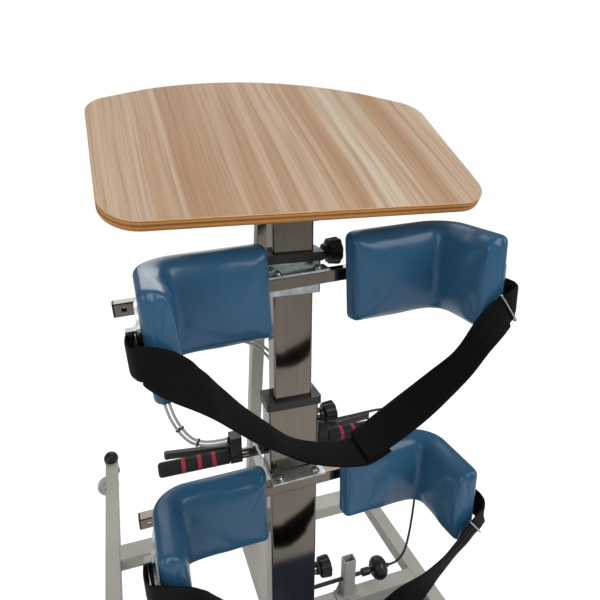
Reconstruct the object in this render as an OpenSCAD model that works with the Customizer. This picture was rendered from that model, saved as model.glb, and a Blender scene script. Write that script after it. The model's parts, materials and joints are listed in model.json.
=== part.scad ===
// Standing frame: a telescopic column on a castor base, with a tilting tray,
// hip and knee pads on sliding crossbars, and a rear push handle with two levers.
// Millimetres, +Z up, origin on the floor at the middle of the footprint.
// The user stands on the -Y side of the column and faces +Y.

/* [Base frame] */
// Height of the underside of the base tubes above the floor
base_under = 105; // [100:1:130]
// Width of a side rail
rail_w = 40; // [32:1:50]
// Height of the base tubes
rail_h = 40; // [34:1:50]
// Wall of the base tubes
base_wall = 2.5; // [1.5:0.1:4]
// Outer corner radius of the base tubes
base_r = 3; // [2:0.5:5]
// Clear width between the side rails
rail_gap = 756; // [700:1:820]
// From the column's axis to the front castor sockets
front_reach = 393; // [385:1:480]
// From the column's axis to the rear castor sockets
rear_reach = 868; // [600:1:1000]
// Outside diameter of a castor socket
socket_d = 44; // [42:1:54]
// Diameter of the round cap on a castor socket
cap_d = 50; // [44:1:56]
// From the column's axis to the middle of the front cross tube
front_cross_y = 73; // [60:1:110]
// Depth of the front cross tube
front_cross_w = 40; // [30:1:50]
// From the column's axis to the middle of the rear cross tube
rear_cross_y = 414; // [380:1:460]
// Depth of the rear cross tube
rear_cross_w = 60; // [40:1:80]
// Width of the spine tube
spine_w = 70; // [60:1:90]
// How far the spine runs in front of the column's axis
spine_front = 70; // [65:1:110]

/* [Foot board] */
// Thickness of the foot board
board_t = 18; // [12:1:24]
// Free depth from a front castor's stem to the foot board, so that the castor can swivel
castor_room = 73; // [68:1:130]
// How far the foot board reaches past the middle of each rail
board_past = 10; // [5:1:18]
// Corner radius of the foot board
board_r = 25; // [5:1:60]

/* [Castors] */
// Diameter of a castor wheel
wheel_d = 75; // [65:1:80]
// Width of a castor wheel
wheel_w = 26; // [20:1:30]
// Distance from the swivel axis to the wheel's axle
castor_trail = 22; // [18:1:26]
// Diameter of the wheel's axle
axle_d = 8; // [6:0.5:10]
// Diameter of the castor's stem
stem_d = 12; // [10:0.5:14]
// Thickness of a fork leg
fork_t = 5; // [3:0.5:6]

/* [Column] */
// Width of the outer column tube
outer_w = 100; // [96:1:110]
// Depth of the outer column tube
outer_d = 50; // [48:1:56]
// Wall of the column tubes
column_wall = 2.5; // [2:0.1:3]
// Outer corner radius of the column tubes
column_r = 4; // [3.5:0.5:5]
// Height of the top of the outer column tube
outer_top = 803; // [780:1:840]
// Width of the inner column tube
inner_w = 75; // [70:1:80]
// Depth of the inner column tube
inner_d = 40; // [36:1:40]
// Height of the top of the inner column tube
inner_top = 1225; // [1220:1:1230]
// Gap under the inner column tube when it is lowered
inner_gap = 32; // [20:1:60]
// Thickness of the column's foot plate
foot_t = 8; // [6:1:12]
// Height of the lip on a collar
lip_h = 16; // [14:1:20]
// How far a lip stands out from its tube
lip_over = 5; // [3:0.5:6]
// Depth of a collar's skirt inside its tube
skirt_h = 60; // [60:1:80]
// Height of the column knob
column_knob_z = 758; // [752:1:765]
// Height of the lower steadying knob
lower_knob_z = 350; // [330:1:380]

/* [Knobs] */
// Diameter of a clamp knob
knob_d = 50; // [40:1:56]
// Depth of a clamp knob's head
knob_h = 32; // [26:1:36]
// Number of flutes round a knob
knob_flutes = 8; // [6:1:10]
// Diameter of a knob's threaded stud
stud_d = 10; // [8:0.5:12]

/* [Crossbars] */
// Side of a crossbar's square tube
bar_s = 22; // [20:1:25]
// Wall of a crossbar
bar_wall = 2; // [1.5:0.1:3]
// Half length of a crossbar
bar_half = 300; // [290:1:330]
// Height of the hip crossbar
hip_z = 1064; // [1056:1:1066]
// From the column's axis to the middle of the hip crossbar
hip_bar_y = 44; // [42:1:48]
// Height of the knee crossbar
knee_z = 648; // [640:1:655]
// From the column's axis to the middle of the knee crossbar
knee_bar_y = 47; // [45:1:50]
// Half width of the seat plate on a crossbar
seat_half = 55; // [50:1:58]
// How far the hip crossbar leans, with its left end down
hip_lean = 3.4; // [0:0.1:3.6]
// How far the knee crossbar leans, with its left end down
knee_lean = 1.5; // [0:0.1:2]

/* [Pads] */
// Thickness of a pad
pad_t = 50; // [44:1:54]
// Height of a pad
pad_h = 160; // [130:1:162]
// Distance from the middle to the inner end of a pad
pad_in = 67; // [60:1:75]
// Distance from the middle to the outside of a pad's wing
wing_out = 272; // [265:1:280]
// From the column's axis to the end of a wing
wing_end = 234; // [228:1:245]
// Radius inside the bend of a pad
bend_in = 12; // [8:1:20]
// Rounding of a pad's padded edges
edge_r = 20; // [14:1:22]
// Crown of a pad's face
crown = 4; // [1:0.5:6]
// How far the left hip pad is slid out along its crossbar
hip_left_out = -6; // [-10:1:10]
// How far the right hip pad is slid out along its crossbar
hip_right_out = 8; // [-10:1:10]
// How far the left knee pad is slid out along its crossbar
knee_left_out = 6; // [-10:1:10]
// How far the right knee pad is slid out along its crossbar
knee_right_out = 9; // [-10:1:10]
// Thickness of a pad's steel back strip
strip_t = 5; // [3:0.5:6]
// Height of a pad's steel back strip
strip_h = 60; // [40:1:70]

/* [Straps] */
// Width of a strap at the middle
strap_wide = 76; // [60:1:76]
// Width of a strap round its anchor pin
strap_narrow = 46; // [38:1:50]
// Thickness of a strap
strap_t = 3; // [2:0.5:4]

/* [Tray] */
// Angle of the tray
tray_tilt = 29.3; // [20:0.1:32]
// Thickness of the tray board
tray_t = 18; // [15:1:20]
// Depth of the tray
tray_depth = 393; // [360:1:420]
// Half width of the tray's near edge
tray_near = 305; // [280:1:320]
// Half width of the tray at its far corners
tray_far = 312; // [300:1:330]
// How far the tray's far edge bulges
tray_bulge = 83; // [60:1:90]
// Corner radius of the tray
tray_r = 57; // [40:1:70]
// From the tray's pivot to its near edge
tray_reach = 174; // [160:1:190]
// From the tray's pivot to the plate under it
tray_rise = 26.5; // [26:0.5:30]

/* [Strut] */
// Side of the lower strut tube
strut_s = 30; // [28:1:34]
// Wall of the lower strut tube
strut_wall = 2; // [1.5:0.1:2.5]
// Length of the lower strut tube above its pivot
strut_len = 760; // [600:1:820]
// Height of the strut's top pin
strut_top_z = 1150; // [1145:1:1155]
// From the column's axis to the strut's top pin
strut_top_y = 179; // [160:1:190]

/* [Handle and levers] */
// Diameter of the handle bar
handle_d = 22; // [20:1:24]
// From the column's axis to the handle bar
handle_y = 75; // [72:1:82]
// Half length of the handle bar
handle_half = 254; // [235:1:270]
// Diameter of a grip
grip_d = 31; // [28:1:33]
// Where a grip starts
grip_in = 112; // [110:1:116]
// Length of a lever's blade
lever_len = 137; // [110:1:142]
// Diameter of a control cable
cable_d = 6; // [4:0.5:6]

/* [Clearances] */
// Gap between pieces that slide on each other
slide_gap = 0.3; // [0.2:0.05:0.4]
// Radial gap between a pin and its bore
pin_gap = 0.05; // [0.02:0.01:0.1]
// Gap between the strut's inner and outer tubes
strut_gap = 0.5; // [0.3:0.1:0.6]
// Gap round the strut's top pin
eye_gap = 2; // [1.5:0.1:2.5]

/* [Hidden] */
$fn = 48;
frame_paint = [0.62, 0.61, 0.58];
zinc = [0.62, 0.64, 0.65];
chrome = [0.78, 0.78, 0.80];
black = [0.07, 0.07, 0.08];
pad_blue = [0.25, 0.42, 0.57];
wood = [0.78, 0.66, 0.55];
grey = [0.72, 0.72, 0.70];

base_top = base_under + rail_h;
rail_x = rail_gap / 2 + rail_w / 2;
column_y = (front_reach - rear_reach) / 2;
board_front = front_reach - castor_room;
spine_end = rear_cross_y - rear_cross_w / 2;
foot_top = base_top + foot_t;
inner_bottom = foot_top + inner_gap;
shoe_h = 40;
stud_bore = stud_d + 2 * pin_gap;
boss_d = 24;
boss_h = 10;
knob_gap = 2;
stud_tip = inner_w / 2 + slide_gap;
outer_half = outer_w / 2;
fit_w = inner_w + 2 * slide_gap;
fit_d = inner_d + 2 * slide_gap;
hip_sleeve_low = hip_z - 34;
hip_sleeve_h = skirt_h;
hip_lip_low = hip_sleeve_low + hip_sleeve_h;
hip_knob_z = hip_lip_low + lip_h / 2;
seat_t = 4;

pad_clear = 0.3;
clamp_wall = 2.7;
clamp_s = bar_s + 2 * slide_gap + 2 * clamp_wall;
clamp_len = 60;
bend_out = bend_in + pad_t;
bend_x = wing_out - bend_out;
clamp_x = 146;
strip_gap = pad_clear;
strip_out = wing_out + strip_gap + strip_t;
strap_y = 40 - wing_end;
anchor_d = 6;
anchor_turn = anchor_d / 2 + strap_t / 2 + 0.5;
anchor_x = strip_out + 3 + strap_t / 2 + pad_clear + anchor_turn;
hip_left_pin_z = -24;
knee_left_pin_z = 18;
right_pin_z = -4;
anchor_half = strap_narrow / 2 + 4;
strap_front = -wing_end - 8;

handle_z = knee_z;
clamp_low = knee_z - 33;
clamp_high = knee_z + 14;
plate_t = 5;
perch_in = 86;
perch_out = grip_in - 2;
perch_mid = (perch_in + perch_out) / 2;
perch_top = knee_z + 50;
lever_y = handle_y + 29;
lever_pin = 6;
lever_half = 7;
gland_h = 4;
cable_gap = 9;
cable_end_gap = 0.5;

lock_z = column_knob_z;
lock_pin_d = 12;
lock_w = 44;
lock_depth = 34;
lock_h = 56;
lock_cable_y = outer_d / 2 + 20;
lock_gland_h = 16;

pivot_y = inner_d / 2 + 10;
pivot_z = inner_top + 15;
lug_r = 12;
lug_in = 41.7;
lug_t = 6;
tray_plate_t = 4;
bracket_low = strut_top_z;
bracket_high = inner_top - 10;
bracket_half = 60;
bracket_t = 5;

strut_foot_y = spine_end - 3;
strut_foot_z = base_top + 30;
strut_pin = 10;
strut_angle = atan2(strut_foot_y - strut_top_y, strut_top_z - strut_foot_z);
strut_full = norm([strut_foot_y - strut_top_y, strut_top_z - strut_foot_z]);
strut_inner_s = strut_s - 2 * strut_wall - 2 * strut_gap;
ear_in = strut_s / 2 + slide_gap;
cheek_in = 20;

lock_rod_z = base_top + 59;
lock_rod_d = 10;
lock_x = 166;
lock_bracket_w = 32;
lock_bracket_d = 24;
lock_bracket_h = 121;
lock_knob_in = 250;
lock_knob_h = 40;
lock_rod_in = 60;

// Cable routes: distance from the column's middle, depth and height
gland_z = perch_top - 11;
gland_end = perch_out + gland_h + cable_end_gap;
lock_top = lock_z + lock_h / 2 + lock_gland_h + cable_end_gap;
ferrule_end = lock_knob_in + lock_knob_h + 10 + cable_end_gap;
left_route = [
    [-gland_end, handle_y, gland_z], [-gland_end - 8, handle_y, gland_z], [-gland_end - 16, handle_y, gland_z],
    [-146, 75.5, gland_z + 0.4], [-165, 76.5, gland_z + 4], [-188, 79, gland_z + 16], [-208, 82.5, 731],
    [-223, 88, 768], [-229, 95, 809], [-221, 104, 850], [-196, 110, 885], [-152, 111, 905], [-102, 106, 909],
    [-58, 94, 900], [-26, 75, 879], [-9.5, 58, 853], [-2.5, lock_cable_y + 3.5, lock_top + 30.5],
    [-0.2, lock_cable_y + 0.3, lock_top + 17.5], [0, lock_cable_y, lock_top + 8], [0, lock_cable_y, lock_top]
];
right_route = [
    [gland_end, handle_y, gland_z], [gland_end + 8, handle_y, gland_z], [gland_end + 16, handle_y, gland_z],
    [147, 76, gland_z], [176, 77, gland_z], [212, 79, gland_z], [250, 81, gland_z - 2], [289, 86, 671],
    [322, 91, 635], [346, 94, 579], [362, 94, 511], [371, 92, 446], [373, 89, 386], [368, 85, 326], [360, 80, 276],
    [350, front_cross_y + 3, lock_rod_z + 34], [337, front_cross_y + 1, lock_rod_z + 13],
    [ferrule_end + 22.5, front_cross_y, lock_rod_z + 3], [ferrule_end + 11, front_cross_y, lock_rod_z + 0.3],
    [ferrule_end + 5, front_cross_y, lock_rod_z], [ferrule_end, front_cross_y, lock_rod_z]
];

// Shared shapes

// Moves a piece drawn round the column's axis to its place over the footprint
module place() {
    translate([0, column_y, 0]) children();
}

module rect(w, d, r) {
    square([w - 2 * r, d], center = true);
    square([w, d - 2 * r], center = true);
    for (x = [-1, 1], y = [-1, 1]) translate([x * (w / 2 - r), y * (d / 2 - r)]) circle(r);
}

module ring_rect(w, d, r, wall) {
    difference() {
        rect(w, d, r);
        rect(w - 2 * wall, d - 2 * wall, max(r - wall, 0.5));
    }
}

// Square tube along +X, +Y or +Z from the origin
module tube_x(h, d, r, wall, len) {
    rotate([0, 90, 0]) linear_extrude(len) ring_rect(h, d, r, wall);
}

module tube_y(w, h, r, wall, len) {
    rotate([-90, 0, 0]) linear_extrude(len) ring_rect(w, h, r, wall);
}

module bore_x(d, x, y, z, len) {
    translate([x, y, z]) rotate([0, 90, 0]) cylinder(d = d, h = len);
}

module bore_y(d, x, y, z, len) {
    translate([x, y, z]) rotate([-90, 0, 0]) cylinder(d = d, h = len);
}

// Plate drawn in the Y-Z plane and thickened along +X
module plate_x(x, t) {
    translate([x, 0, 0]) rotate([90, 0, 90]) linear_extrude(t) children();
}

// Smooth curve through hand-set points
function bend4(a, b, c, d, t) =
    0.5 * (2 * b + (c - a) * t + (2 * a - 5 * b + 4 * c - d) * t * t + (3 * b - a - 3 * c + d) * t * t * t);
function at(p, i) = p[max(0, min(len(p) - 1, i))];
function smooth(p, n) = concat(
    [for (i = [0 : len(p) - 2], k = [0 : n - 1]) bend4(at(p, i - 1), p[i], p[i + 1], at(p, i + 2), k / n)],
    [p[len(p) - 1]]);
function unit(v) = v / norm(v);
function tangent(p, i) = unit(at(p, i + 1) - at(p, i - 1));

// Closed skin over a row of rings that all have the same number of points
module skin(rings) {
    n = len(rings[0]);
    last = len(rings) - 1;
    side = [for (i = [0 : last - 1], j = [0 : n - 1], f = [0, 1])
        let (a = i * n + j, b = i * n + (j + 1) % n)
        f == 0 ? [a, b, b + n] : [a, b + n, a + n]];
    start = [for (j = [1 : n - 2]) [0, j + 1, j]];
    end = [for (j = [1 : n - 2]) [last * n, last * n + j, last * n + j + 1]];
    polyhedron(points = [for (r = rings) each r], faces = concat(side, start, end));
}

// Round tube along a route, with rings square to it, set aside from the route in its own plane
module swept_tube(route, d, sides, n, aside = 0) {
    p = smooth(route, n);
    skin([for (i = [0 : len(p) - 1])
        let (t = tangent(p, i), u = unit(cross(t, [0, 1, 0])), v = cross(t, u), m = p[i] + aside * u)
        [for (k = [0 : sides - 1]) m + d / 2 * (cos(360 * k / sides) * v + sin(360 * k / sides) * u)]]);
}

// Fluted clamp knob along +X with its face of contact at the origin
module knob(d, h, stud) {
    flute = d * 0.2;
    rotate([0, 90, 0]) {
        difference() {
            rotate_extrude() polygon(concat(
                [[0, 0], [d * 0.28, 0], [d * 0.28, h * 0.2], [d * 0.46, h * 0.3]],
                [for (a = [0 : 15 : 90]) [d / 2 - 4 + 4 * cos(a), h - 4 + 4 * sin(a)]],
                [[0, h]]));
            for (k = [0 : knob_flutes - 1]) rotate(360 * k / knob_flutes)
                translate([d / 2 + flute * 0.55, 0, h * 0.2]) cylinder(d = flute * 2, h = h);
        }
        translate([0, 0, -stud]) cylinder(d = stud_d, h = stud + 1);
    }
}

// Base frame

module side_rail(side) {
    translate([side * rail_x, 0, base_under]) difference() {
        union() {
            translate([0, -front_reach, rail_h / 2]) rotate([-90, 0, 0])
                linear_extrude(front_reach + rear_reach) rect(rail_w, rail_h, base_r);
            for (y = [-front_reach, rear_reach]) translate([0, y, 0]) cylinder(d = socket_d, h = rail_h);
        }
        translate([0, socket_d / 2 - front_reach, rail_h / 2]) rotate([-90, 0, 0])
            linear_extrude(front_reach + rear_reach - socket_d)
                rect(rail_w - 2 * base_wall, rail_h - 2 * base_wall, max(base_r - base_wall, 0.5));
        for (y = [-front_reach, rear_reach]) translate([0, y, -1])
            cylinder(d = stem_d + 2 * pin_gap, h = rail_h + 2);
    }
}

module left_rail() color(frame_paint) place() side_rail(-1);

module right_rail() color(frame_paint) place() side_rail(1);

module front_cross_tube() {
    half = rail_gap / 2 - spine_w / 2;
    color(frame_paint) place() for (x = [-rail_gap / 2, spine_w / 2])
        translate([x, front_cross_y, base_under + rail_h / 2])
            tube_x(rail_h, front_cross_w, base_r, base_wall, half);
}

module rear_cross_tube() {
    color(frame_paint) place() translate([-rail_gap / 2, rear_cross_y, base_under + rail_h / 2])
        tube_x(rail_h, rear_cross_w, base_r, base_wall, rail_gap);
}

module spine_tube() {
    color(frame_paint) place() translate([0, -spine_front, base_under + rail_h / 2])
        tube_y(spine_w, rail_h, base_r, base_wall, spine_front + spine_end);
}

module socket_caps() {
    rise = cap_d * 0.16;
    color(black) place() for (x = [-rail_x, rail_x], y = [-front_reach, rear_reach])
        translate([x, y, base_top]) difference() {
            translate([0, 0, rise]) sphere(d = cap_d);
            translate([-cap_d, -cap_d, -cap_d]) cube([2 * cap_d, 2 * cap_d, cap_d]);
        }
}

module foot_board() {
    back = front_cross_y + front_cross_w / 2;
    color(pad_blue) place() translate([0, (back - board_front) / 2, base_under - board_t])
        linear_extrude(board_t) rect(2 * (rail_x + board_past), back + board_front, board_r);
}

// Column

module column_foot() {
    plate_y = outer_d / 2 + 34;
    bolt_x = spine_w / 2 - 11;
    bolt_y = outer_d / 2 + 17;
    color(zinc) place() translate([0, 0, base_top]) {
        linear_extrude(foot_t) rect(outer_w + 40, 2 * plate_y, 6);
        for (x = [-bolt_x, bolt_x], y = [-bolt_y, bolt_y]) translate([x, y, foot_t]) {
            cylinder(d = 20, h = 2);
            cylinder(d = 17, h = 9, $fn = 6);
        }
    }
}

module outer_column() {
    color(chrome) place() difference() {
        union() {
            translate([0, 0, foot_top]) linear_extrude(outer_top - foot_top)
                ring_rect(outer_w, outer_d, column_r, column_wall);
            for (z = [column_knob_z, lower_knob_z]) bore_x(boss_d, outer_half - 1, 0, z, boss_h + 1);
        }
        for (z = [column_knob_z, lower_knob_z]) bore_x(stud_bore, inner_w / 2, 0, z, outer_w);
        bore_y(lock_pin_d + 2 * pin_gap, 0, inner_d / 2, lock_z, outer_d);
    }
}

// Guide bush: a skirt inside a tube and a lip on its top, bored for the inner column
module collar(low, skirt) {
    in_w = outer_w - 2 * column_wall;
    in_d = outer_d - 2 * column_wall;
    translate([0, 0, low]) linear_extrude(lip_h) difference() {
        rect(outer_w + 2 * lip_over, outer_d + 2 * lip_over, column_r + 2);
        rect(fit_w, fit_d, column_r);
    }
    translate([0, 0, low - skirt]) linear_extrude(skirt) difference() {
        rect(in_w, in_d, max(column_r - column_wall, 0.5));
        rect(fit_w, fit_d, column_r);
    }
}

module column_collar() {
    color(black) place() difference() {
        collar(outer_top, skirt_h);
        bore_x(stud_bore, inner_w / 2 - 5, 0, column_knob_z, outer_w);
        bore_y(lock_pin_d + 2 * pin_gap, 0, inner_d / 2 - 5, lock_z, outer_d);
    }
}

module side_knob(z) {
    start = outer_half + boss_h + knob_gap;
    color(black) place() translate([start, 0, z]) knob(knob_d, knob_h, start - stud_tip);
}

module column_knob() side_knob(column_knob_z);

module lower_knob() side_knob(lower_knob_z);

module column_lock() {
    back = outer_d / 2;
    color(black) place() difference() {
        union() {
            translate([0, back + lock_depth / 2, lock_z - lock_h / 2]) linear_extrude(lock_h)
                rect(lock_w, lock_depth, 5);
            for (x = [-cable_gap / 2, cable_gap / 2])
                translate([x, lock_cable_y, lock_z + lock_h / 2 - 1]) cylinder(d = cable_d + 2, h = lock_gland_h + 1);
        }
        bore_y(lock_pin_d + 2 * pin_gap, 0, 0, lock_z, outer_d + lock_depth);
    }
}

module lock_pin() {
    tip = inner_d / 2 + slide_gap;
    back = outer_d / 2 + lock_depth;
    color(zinc) place() {
        bore_y(lock_pin_d, 0, tip, lock_z, back - tip + 4);
        bore_y(lock_pin_d + 8, 0, back + slide_gap, lock_z, 10);
    }
}

// Foot lock beside the column

module foot_lock_bracket() {
    mid_x = lock_x + lock_bracket_w / 2;
    flare = 16;
    color(frame_paint) place() difference() {
        union() {
            translate([mid_x, front_cross_y, base_top]) linear_extrude(lock_bracket_h)
                ring_rect(lock_bracket_w, lock_bracket_d, 3, 3);
            translate([mid_x, front_cross_y, base_top])
                linear_extrude(5) rect(lock_bracket_w + 2 * flare, front_cross_w - 4, 3);
            translate([lock_x, front_cross_y + lock_bracket_d / 2, base_top]) rotate([90, 0, 0])
                linear_extrude(3) polygon([[-flare, 3], [lock_bracket_w + flare, 3],
                    [lock_bracket_w + flare * 0.4, 26], [lock_bracket_w - 1, 48], [1, 48], [-flare * 0.4, 26]]);
        }
        bore_x(lock_rod_d + 2 * pin_gap, lock_x - flare - 1, front_cross_y, lock_rod_z, lock_bracket_w + 2 * flare + 2);
    }
}

module lock_plunger() {
    color(black) place() {
        bore_x(lock_rod_d, lock_rod_in, front_cross_y, lock_rod_z, lock_knob_in - lock_rod_in + 1);
        bore_x(lock_rod_d + 10, lock_x + lock_bracket_w + 24, front_cross_y, lock_rod_z, 20);
        translate([lock_knob_in, front_cross_y, lock_rod_z]) rotate([0, 90, 0]) rotate_extrude()
            polygon(concat(
                [[0, 0], [16, 0]],
                [for (a = [-50 : 20 : 90]) [14 + 16 * cos(a), lock_knob_h / 2 + (lock_knob_h / 2 - 1) * sin(a)]],
                [[0, lock_knob_h]]));
        bore_x(cable_d + 4, lock_knob_in + lock_knob_h - 2, front_cross_y, lock_rod_z, 12);
    }
}

// Castors, turned at rest so that the wheels trail outwards

module castor_fork(side, y) {
    crown_top = base_under - slide_gap;
    axle_z = wheel_d / 2;
    leg_in = wheel_w / 2 + 1.5;
    color(black) place() translate([side * rail_x, y, 0]) {
        translate([0, 0, crown_top - 12]) cylinder(d = 48, h = 12);
        translate([0, 0, crown_top - 1]) cylinder(d = stem_d, h = rail_h - 4);
        for (leg_y = [-leg_in - fork_t, leg_in]) translate([0, leg_y + fork_t, 0]) rotate([90, 0, 0])
            linear_extrude(fork_t) {
                polygon([[-17, crown_top - 6], [17, crown_top - 6], [side * castor_trail + 12, axle_z],
                    [side * castor_trail - 12, axle_z]]);
                translate([side * castor_trail, axle_z]) circle(12);
            }
        bore_y(axle_d, side * castor_trail, -leg_in - fork_t - 3, axle_z, 2 * (leg_in + fork_t + 3));
        for (end = [-leg_in - fork_t - 3, leg_in + fork_t]) bore_y(axle_d + 5, side * castor_trail, end, axle_z, 3);
    }
}

module castor_wheel(side, y) {
    r = wheel_d / 2;
    w = wheel_w / 2;
    shoulder = 7;
    color(grey) place() translate([side * (rail_x + castor_trail), y, r]) rotate([90, 0, 0]) rotate_extrude()
        polygon(concat(
            [[axle_d / 2 + pin_gap, -w], [13, -w], [15, 4 - w], [r - 11, 4 - w], [r - 9, 1 - w]],
            [for (a = [-90 : 15 : 0]) [r - shoulder + shoulder * cos(a), shoulder - w + shoulder * sin(a)]],
            [for (a = [0 : 15 : 90]) [r - shoulder + shoulder * cos(a), w - shoulder + shoulder * sin(a)]],
            [[r - 9, w - 1], [r - 11, w - 4], [15, w - 4], [13, w], [axle_d / 2 + pin_gap, w]]));
}

module castor_fork_front_left() castor_fork(-1, -front_reach);

module castor_fork_front_right() castor_fork(1, -front_reach);

module castor_fork_rear_left() castor_fork(-1, rear_reach);

module castor_fork_rear_right() castor_fork(1, rear_reach);

module castor_wheel_front_left() castor_wheel(-1, -front_reach);

module castor_wheel_front_right() castor_wheel(1, -front_reach);

module castor_wheel_rear_left() castor_wheel(-1, rear_reach);

module castor_wheel_rear_right() castor_wheel(1, rear_reach);

// Telescopic part of the column and the tray

module inner_column() {
    color(chrome) place() translate([0, 0, inner_bottom]) linear_extrude(inner_top - inner_bottom)
        ring_rect(inner_w, inner_d, column_r, column_wall);
}

// Guide shoe round the foot of the inner column, grooved for the lower knob's stud
module column_shoe() {
    shoe_w = outer_w - 2 * column_wall - 2 * slide_gap;
    shoe_d = outer_d - 2 * column_wall - 2 * slide_gap;
    color(black) place() translate([0, 0, inner_bottom]) difference() {
        linear_extrude(shoe_h) difference() {
            rect(shoe_w, shoe_d, 1);
            rect(inner_w, inner_d, column_r);
        }
        translate([inner_w / 2 - column_r, -stud_d / 2 - 2, -1]) cube([outer_w, stud_d + 4, shoe_h + 2]);
    }
}

module table_bracket() {
    back = inner_d / 2;
    rear = back + bracket_t;
    pin_r = strut_pin / 2 + 9;
    color(zinc) place() difference() {
        union() {
            translate([-bracket_half, back, bracket_low]) cube([2 * bracket_half, bracket_t, bracket_high - bracket_low]);
            for (x = [-lug_in - 2 * lug_t - slide_gap, lug_in + lug_t + slide_gap]) plate_x(x, lug_t) {
                polygon([[back, bracket_high - 30], [rear + 8, bracket_high - 30], [pivot_y + lug_r, pivot_z],
                    [pivot_y - lug_r, pivot_z], [back, bracket_high - 8]]);
                translate([pivot_y, pivot_z]) circle(lug_r);
            }
            for (x = [-cheek_in - 5, cheek_in]) plate_x(x, 5) {
                polygon([[rear - 1, bracket_low], [strut_top_y, strut_top_z - pin_r], [strut_top_y, strut_top_z + pin_r],
                    [rear - 1, bracket_high - 5]]);
                translate([strut_top_y, strut_top_z]) circle(pin_r);
            }
            bore_x(strut_pin, -cheek_in - 9, strut_top_y, strut_top_z, 2 * cheek_in + 18);
            for (x = [-cheek_in - 10, cheek_in + 5]) bore_x(strut_pin + 6, x, strut_top_y, strut_top_z, 5);
        }
        bore_x(stud_bore, -bracket_half - 5, pivot_y, pivot_z, 2 * bracket_half + 10);
    }
}

// Places children in the tray's own frame: pivot at the origin, +Y up the slope
module tray_frame() {
    translate([0, pivot_y, pivot_z]) rotate([tray_tilt, 0, 0]) children();
}

module table_plate() {
    half_x = 110;
    near = -70;
    far = 110;
    color(zinc) place() tray_frame() difference() {
        union() {
            translate([0, (near + far) / 2, tray_rise]) linear_extrude(tray_plate_t) rect(2 * half_x, far - near, 8);
            for (x = [-lug_in - lug_t, lug_in]) plate_x(x, lug_t) {
                polygon([[-lug_r, 0], [lug_r, 0], [lug_r + 10, tray_rise + 1], [-lug_r - 10, tray_rise + 1]]);
                circle(lug_r);
            }
        }
        bore_x(stud_bore, -lug_in - lug_t - 1, 0, 0, 2 * (lug_in + lug_t + 1));
    }
}

// Tray outline: straight near edge, slightly splayed sides and a bowed far edge, with rounded corners
bow_r = (tray_far * tray_far + tray_bulge * tray_bulge) / (2 * tray_bulge);
bow_y = tray_depth - bow_r;
function corner(a, b, c, r) =
    let (u = unit(a - b), v = unit(c - b), half = acos(u * v) / 2, m = b + unit(u + v) * r / sin(half),
        start = atan2((b + u * r / tan(half) - m)[1], (b + u * r / tan(half) - m)[0]),
        turn = 180 - 2 * half)
    [for (k = [0 : 8]) m + r * [cos(start + turn * k / 8), sin(start + turn * k / 8)]];
far_side = asin(tray_far / bow_r);
near_right = [tray_near, 0];
far_right = [tray_far, tray_depth - tray_bulge];
bow_in = [bow_r * sin(far_side * 0.7), bow_y + bow_r * cos(far_side * 0.7)];
right_half = concat(
    corner([0, 0], near_right, far_right, tray_r),
    corner(near_right, far_right, bow_in, tray_r * 0.9),
    [for (k = [6 : -1 : 0]) [bow_r * sin(far_side * 0.1 * k), bow_y + bow_r * cos(far_side * 0.1 * k)]]);
tray_outline = concat(right_half, [for (i = [len(right_half) - 2 : -1 : 0]) [-right_half[i][0], right_half[i][1]]]);

module table_top() {
    color(wood) place() tray_frame() translate([0, -tray_reach, tray_rise + tray_plate_t])
        linear_extrude(tray_t) polygon(tray_outline);
}

module tilt_knob() {
    start = lug_in + 2 * lug_t + slide_gap + knob_gap;
    color(black) place() translate([start, pivot_y, pivot_z]) knob(knob_d * 0.8, knob_h * 0.8, 2 * start);
}

// Rear strut

module strut_foot() {
    ear_r = strut_pin / 2 + 9;
    color(frame_paint) place() {
        translate([0, strut_foot_y - 27, base_top]) linear_extrude(4) rect(spine_w - 6, 60, 4);
        for (x = [-ear_in - 5, ear_in]) plate_x(x, 5) {
            polygon([[strut_foot_y - 40, base_top], [strut_foot_y + 2, base_top], [strut_foot_y + ear_r, strut_foot_z],
                [strut_foot_y - ear_r, strut_foot_z]]);
            translate([strut_foot_y, strut_foot_z]) circle(ear_r);
        }
        bore_x(strut_pin, -ear_in - 9, strut_foot_y, strut_foot_z, 2 * ear_in + 18);
        for (x = [-ear_in - 9, ear_in + 5]) bore_x(strut_pin + 6, x, strut_foot_y, strut_foot_z, 4);
    }
}

module strut_frame() {
    translate([0, strut_foot_y, strut_foot_z]) rotate([strut_angle, 0, 0]) children();
}

module strut_tube() {
    color(frame_paint) place() strut_frame() difference() {
        translate([0, 0, -18]) linear_extrude(strut_len + 18) ring_rect(strut_s, strut_s, 3, strut_wall);
        bore_x(strut_pin + 2 * pin_gap, -strut_s, 0, 0, 2 * strut_s);
    }
}

module strut_inner() {
    eye_d = strut_pin + 2 * eye_gap;
    color(chrome) place() strut_frame() difference() {
        union() {
            translate([0, 0, strut_len / 2]) linear_extrude(strut_full - strut_len / 2 - 8)
                ring_rect(strut_inner_s, strut_inner_s, 2, strut_wall);
            bore_x(eye_d + 10, -strut_inner_s / 2, 0, strut_full, strut_inner_s);
        }
        bore_x(eye_d, -strut_s, 0, strut_full, 2 * strut_s);
    }
}

// Crossbar carriages

// Leans a crossbar and what it carries about the column's middle, left end down
module leaned(z, lean) {
    translate([0, 0, z]) rotate([0, -lean, 0]) translate([0, 0, -z]) children();
}

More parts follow.
